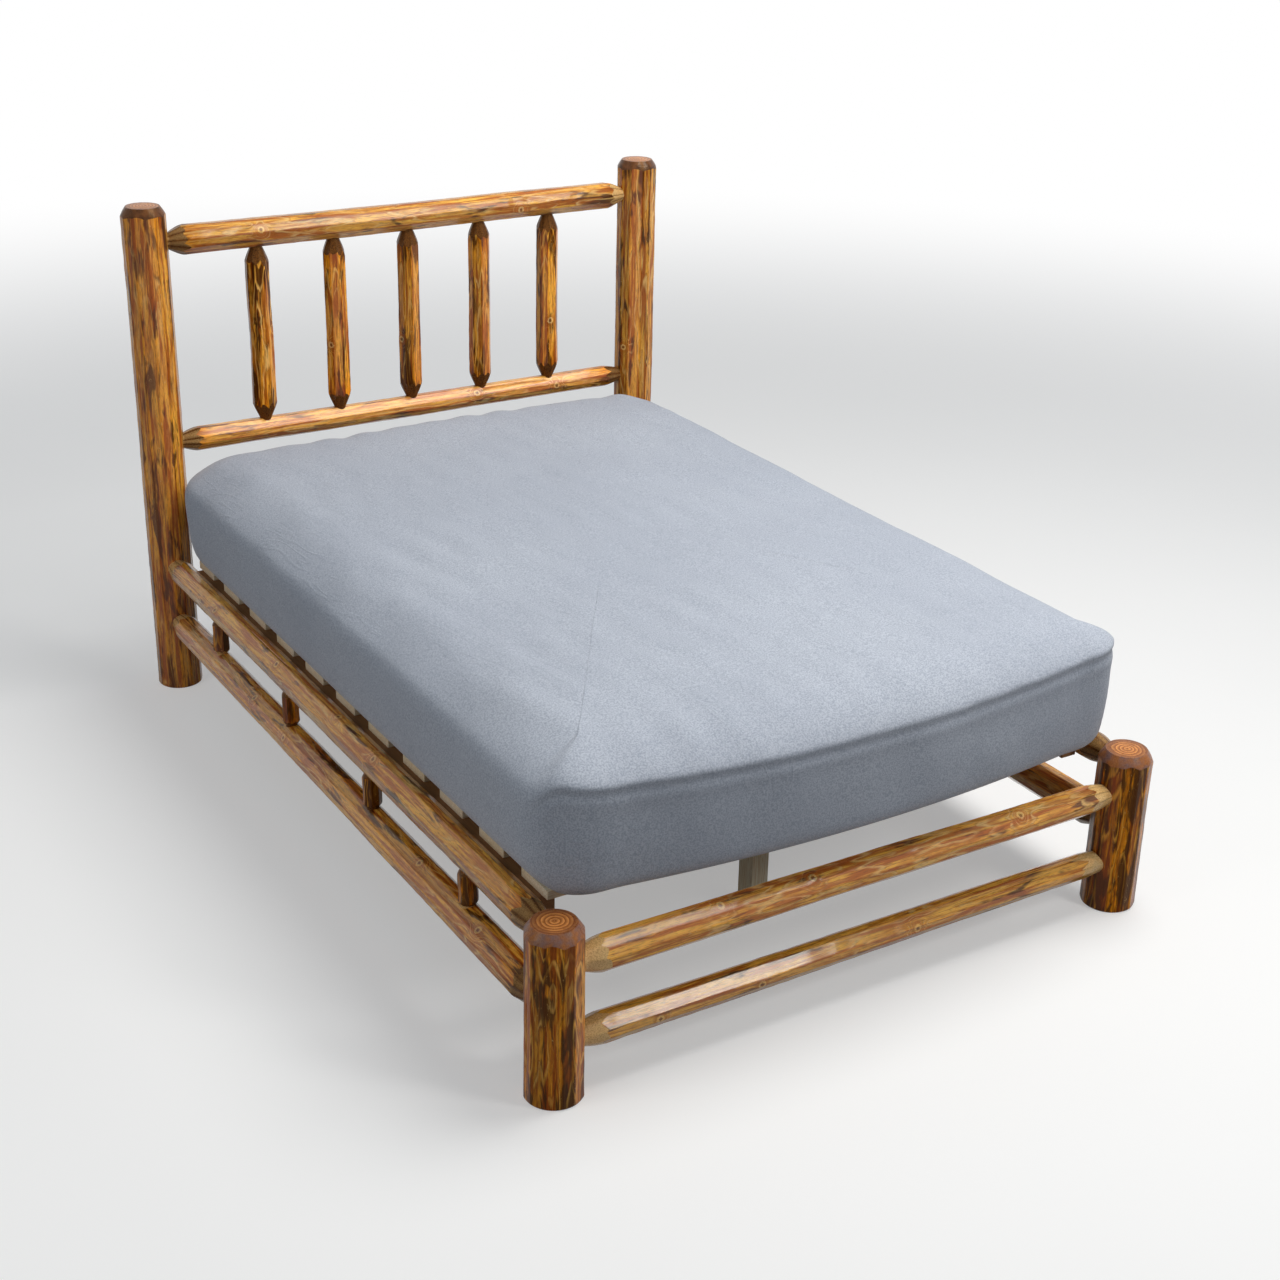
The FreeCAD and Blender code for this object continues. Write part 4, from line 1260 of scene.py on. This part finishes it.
def settle_moves(sheet):
    scene = bpy.context.scene
    cloth_sheet = sheet.copy()
    cloth_sheet.data = sheet.data.copy()
    scene.collection.objects.link(cloth_sheet)
    rest = read_points(cloth_sheet.data)
    pinned = cloth_sheet.vertex_groups.new(name="pinned")
    low_points = np.flatnonzero(rest[:, 2] < block_base + PINNED_BELOW)
    pinned.add([int(number) for number in low_points], 1.0, "REPLACE")
    cloth = cloth_sheet.modifiers.new("settle", "CLOTH")
    cloth.point_cache.frame_start = 1
    cloth.point_cache.frame_end = SETTLE_FRAMES
    for name, value in CLOTH_VALUES.items():
        setattr(cloth.settings, name, value)
    cloth.settings.effector_weights.gravity = 0.0
    for frame_number in range(1, SETTLE_FRAMES + 1):
        scene.frame_set(frame_number)
    settled = cloth_sheet.evaluated_get(bpy.context.evaluated_depsgraph_get())
    moves = read_points(settled.data) - rest
    scene.frame_set(1)
    bpy.data.objects.remove(cloth_sheet)
    far = np.maximum(np.linalg.norm(moves, axis=1), ROUNDING)
    corner = np.hypot(np.abs(rest[:, 0] - block_centre_x) - half_width,
                      np.abs(rest[:, 1] - block_centre_y) - half_length)
    free = share_between(corner, CORNER_HOLD, CORNER_REACH)
    return moves * (free * np.tanh(far / SETTLE_LIMIT) * SETTLE_LIMIT / far)[:, None]


def read_points(mesh):
    points = np.zeros(3 * len(mesh.vertices))
    mesh.vertices.foreach_get("co", points)
    return points.reshape(-1, 3)


def move_points(piece, moves):
    points = read_points(piece.data)
    points[:len(moves)] += moves
    piece.data.vertices.foreach_set("co", points.ravel())
    piece.data.update()


# The soft block's own unevenness: the foot swells between its corners, the
# long edges are drawn in at even places, the sheet's corner seams are drawn in
# at the foot, and the top has broad hollows and fine wrinkles.
SWELL_START = 0.45
SWELL_POWER = 1.5
SIDE_PITCH = 0.33
SIDE_SHIFT = 0.08
SIDE_SWELL = 0.0055
SIDE_LIFT_SHARE = 0.6
SIDE_REACH = 0.10
SIDE_END = 0.93
SIDE_FADE = 0.15
CORNER_SEAM = 0.0035
CORNER_SEAM_INSET = 0.037
CORNER_SEAM_REACH = 0.016
CORNER_SEAM_START = 0.0695
GROWN_EDGE = 0.02
UNDERSIDE = 0.001
TOP_START = 0.20
TOP_FADE = 0.07
HOLLOW = 0.0011
HOLLOW_COUNT = 14
HOLLOW_WAVES = (0.25, 0.8)
WRINKLE = 0.0006
WRINKLE_COUNT = 10
WRINKLE_WAVES = (0.07, 0.13)
WRINKLE_TURN = 8
WRINKLE_TURN_SPREAD = 14
FOOT_BELLY = 0.0016
FOOT_BELLY_HEIGHT = 0.24
FOOT_BELLY_DEPTH = 0.01
FOOT_BELLY_WAVES = ((2.3, 0.4), (3.7, 2.0), (5.9, 1.1))


def plane_wave(x, y, angle, wavelength, phase):
    along = x * math.cos(angle) + y * math.sin(angle)
    return np.sin(FULL_TURN * along / wavelength + phase)


def soften(rows, grow):
    x = rows[:, 0].copy()
    y = rows[:, 1].copy()
    z = rows[:, 2].copy()
    near_foot = share_between(-y, SWELL_START, half_length) ** SWELL_POWER
    rows[:, 1] -= FOOT_SWELL * np.clip(1 - (x / FOOT_SWELL_REACH) ** 2, 0, 1) * near_foot

    near_side = share_between(np.abs(x), half_width - SIDE_REACH, half_width)
    near_side = near_side * share_between(-np.abs(y), -SIDE_END, SIDE_FADE - SIDE_END)
    near_side = near_side * share_between(z, SIDE_REACH, 2 * SIDE_REACH)
    arch = np.abs(np.sin(math.pi * (y - SIDE_SHIFT) / SIDE_PITCH))
    change = SIDE_SWELL * (arch - 1) * near_side
    rows[:, 0] += np.sign(x) * change
    rows[:, 2] += SIDE_LIFT_SHARE * change

    corner = np.hypot(np.abs(x) - half_width + CORNER_SEAM_INSET,
                      y + half_length - CORNER_SEAM_INSET)
    drawn = CORNER_SEAM * np.exp(-(corner / CORNER_SEAM_REACH) ** 2)
    drawn = drawn * share_between(z, 0, CORNER_SEAM_START)
    rows[:, 0] -= np.sign(x) * drawn
    rows[:, 1] += drawn
    top_share = share_between(z, EDGE_HEIGHT - GROWN_EDGE, EDGE_HEIGHT)
    rows[:, 2] += grow * (top_share - (z < UNDERSIDE))

    rng = np.random.default_rng(5)
    hollows = np.zeros(len(rows))
    for _ in range(HOLLOW_COUNT):
        angle = rng.uniform(0, FULL_TURN)
        wavelength = rng.uniform(*HOLLOW_WAVES)
        phase = rng.uniform(0, FULL_TURN)
        hollows += plane_wave(x, y, angle, wavelength, phase) * wavelength
    wrinkles = np.zeros(len(rows))
    for _ in range(WRINKLE_COUNT):
        angle = math.radians(rng.normal(WRINKLE_TURN, WRINKLE_TURN_SPREAD))
        wavelength = rng.uniform(*WRINKLE_WAVES)
        phase = rng.uniform(0, FULL_TURN)
        wrinkles += plane_wave(x, y, angle, wavelength, phase)
    on_top = share_between(z, TOP_START, TOP_START + TOP_FADE)
    rows[:, 2] += (HOLLOW * hollows + WRINKLE * wrinkles) * on_top

    side_wave = sum(np.sin(FULL_TURN * (x + y) * turns + shift)
                    for turns, shift in FOOT_BELLY_WAVES)
    belly = np.sin(math.pi * share_between(z, 0, FOOT_BELLY_HEIGHT))
    rows[:, 1] -= FOOT_BELLY * side_wave * belly * (y < FOOT_BELLY_DEPTH - half_length)
    return rows


def dress_mattress():
    core = soft_block("mattress_core", -CORE_GAP, False)
    finish_piece(core, MATTRESS_BODY, ticking, ["mattress"])
    sheet = soft_block("fitted_sheet_cloth", SHEET_GAP, True)
    moves = settle_moves(sheet)
    move_points(sheet, moves)
    move_points(core, moves)
    subdivide(core)
    subdivide(sheet)
    finish_piece(sheet, MATTRESS_BODY, sheet_cotton, ["fitted_sheet"])


def subdivide(piece):
    smooth = piece.modifiers.new("smooth", "SUBSURF")
    smooth.levels = smooth.render_levels = 1


dress_mattress()


# Studio: a pale floor under a plain white surround, and soft light.

FLOOR_HALF = 60.0
FLOOR_NEAR = 2.6
FLOOR_FAR = 7.0
NEAR_GLOW_SHARE = 0.35
PALE_FLOOR = (paint(250, 250, 249), paint(246, 246, 245))
DIM_FLOOR = paint(112, 110, 110)
LAMPS = (
    # name, where from, size, power
    ("ceiling", (1.3, -0.7, 3.9), 2.4, 118.0),
    ("window", (1.6, -3.5, 2.8), 0.9, 36.0),
    ("side_window", (-4.2, -0.6, 2.2), 1.6, 28.0),
)
LAMP_COLOUR = (1.0, 0.98, 0.95)
LAMP_TARGET = Vector((0, 0, 0.4))
SURROUND_COLOUR = (0.76, 0.88, 1.0, 1.0)
SURROUND_STRENGTH = 0.19


# Whether a ray is one that shows the background: to the camera, or mirrored or
# let through by a piece.
def seen_ray(tree):
    path = tree.nodes.new("ShaderNodeLightPath")
    seen = path.outputs["Is Camera Ray"]
    for name in ("Is Glossy Ray", "Is Transmission Ray"):
        either = tree.nodes.new("ShaderNodeMath")
        either.operation = "MAXIMUM"
        tree.links.new(seen, either.inputs[0])
        tree.links.new(path.outputs[name], either.inputs[1])
        seen = either.outputs[0]
    return seen


# The floor is pale where it is seen, and white further away. It throws little
# light back.
def make_floor():
    corners = [(-FLOOR_HALF, -FLOOR_HALF, 0), (FLOOR_HALF, -FLOOR_HALF, 0),
               (FLOOR_HALF, FLOOR_HALF, 0), (-FLOOR_HALF, FLOOR_HALF, 0)]
    floor = make_mesh("floor", corners, [(0, 1, 2, 3)])
    f = Finish("floor_paint")
    seen = seen_ray(f.tree)
    place = f.place()
    pale = f.mix(f.noise(place, 1.5), *PALE_FLOOR)
    f.set(Base_Color=f.mix(seen, DIM_FLOOR, pale), Roughness=0.9)
    share = f.times(f.span(f.length(place), FLOOR_NEAR, FLOOR_FAR, NEAR_GLOW_SHARE, 1.0), seen)
    glow = f.put("Emission", {"Color": (1, 1, 1, 1), "Strength": 1.0})
    output = f.tree.nodes["Material Output"]
    surface = f.put("MixShader", {0: share, 1: f.surface.outputs[0], 2: glow})
    f.feed(output.inputs["Surface"], surface)
    floor.data.materials.append(f.material)


def make_lamps():
    for name, place, size, power in LAMPS:
        light = bpy.data.lights.new(name, "AREA")
        light.shape = "DISK"
        light.size = size
        light.energy = power
        light.color = LAMP_COLOUR
        lamp = bpy.data.objects.new(name, light)
        lamp.location = place
        lamp.rotation_euler = (LAMP_TARGET - Vector(place)).to_track_quat("-Z", "Y").to_euler()
        bpy.context.scene.collection.objects.link(lamp)


def make_surround():
    world = bpy.data.worlds.new("surround")
    bpy.context.scene.world = world
    world.use_nodes = True
    tree = world.node_tree
    tree.nodes.clear()
    either = tree.nodes.new("ShaderNodeMixShader")
    tree.links.new(seen_ray(tree), either.inputs["Fac"])
    kinds = ((1, SURROUND_COLOUR, SURROUND_STRENGTH), (2, (1, 1, 1, 1), 1.0))
    for socket, colour, strength in kinds:
        light = tree.nodes.new("ShaderNodeBackground")
        light.inputs["Color"].default_value = colour
        light.inputs["Strength"].default_value = strength
        tree.links.new(light.outputs[0], either.inputs[socket])
    output = tree.nodes.new("ShaderNodeOutputWorld")
    tree.links.new(either.outputs[0], output.inputs["Surface"])


SENSOR_WIDTH = 36.0
CAMERA_LENS = 56.07
CAMERA_PLACE = (-2.1224, -3.5953, 2.2447)
CAMERA_TURN = (65.741, -1.177, -31.224)


def make_camera():
    camera = bpy.data.objects.new("camera", bpy.data.cameras.new("camera"))
    camera.data.sensor_width = SENSOR_WIDTH
    camera.data.lens = CAMERA_LENS
    camera.location = CAMERA_PLACE
    camera.rotation_euler = Euler([math.radians(turn) for turn in CAMERA_TURN], "XYZ")
    bpy.context.scene.collection.objects.link(camera)
    bpy.context.scene.camera = camera


make_floor()
make_lamps()
make_surround()
make_camera()
bpy.context.scene.view_settings.view_transform = "Standard"
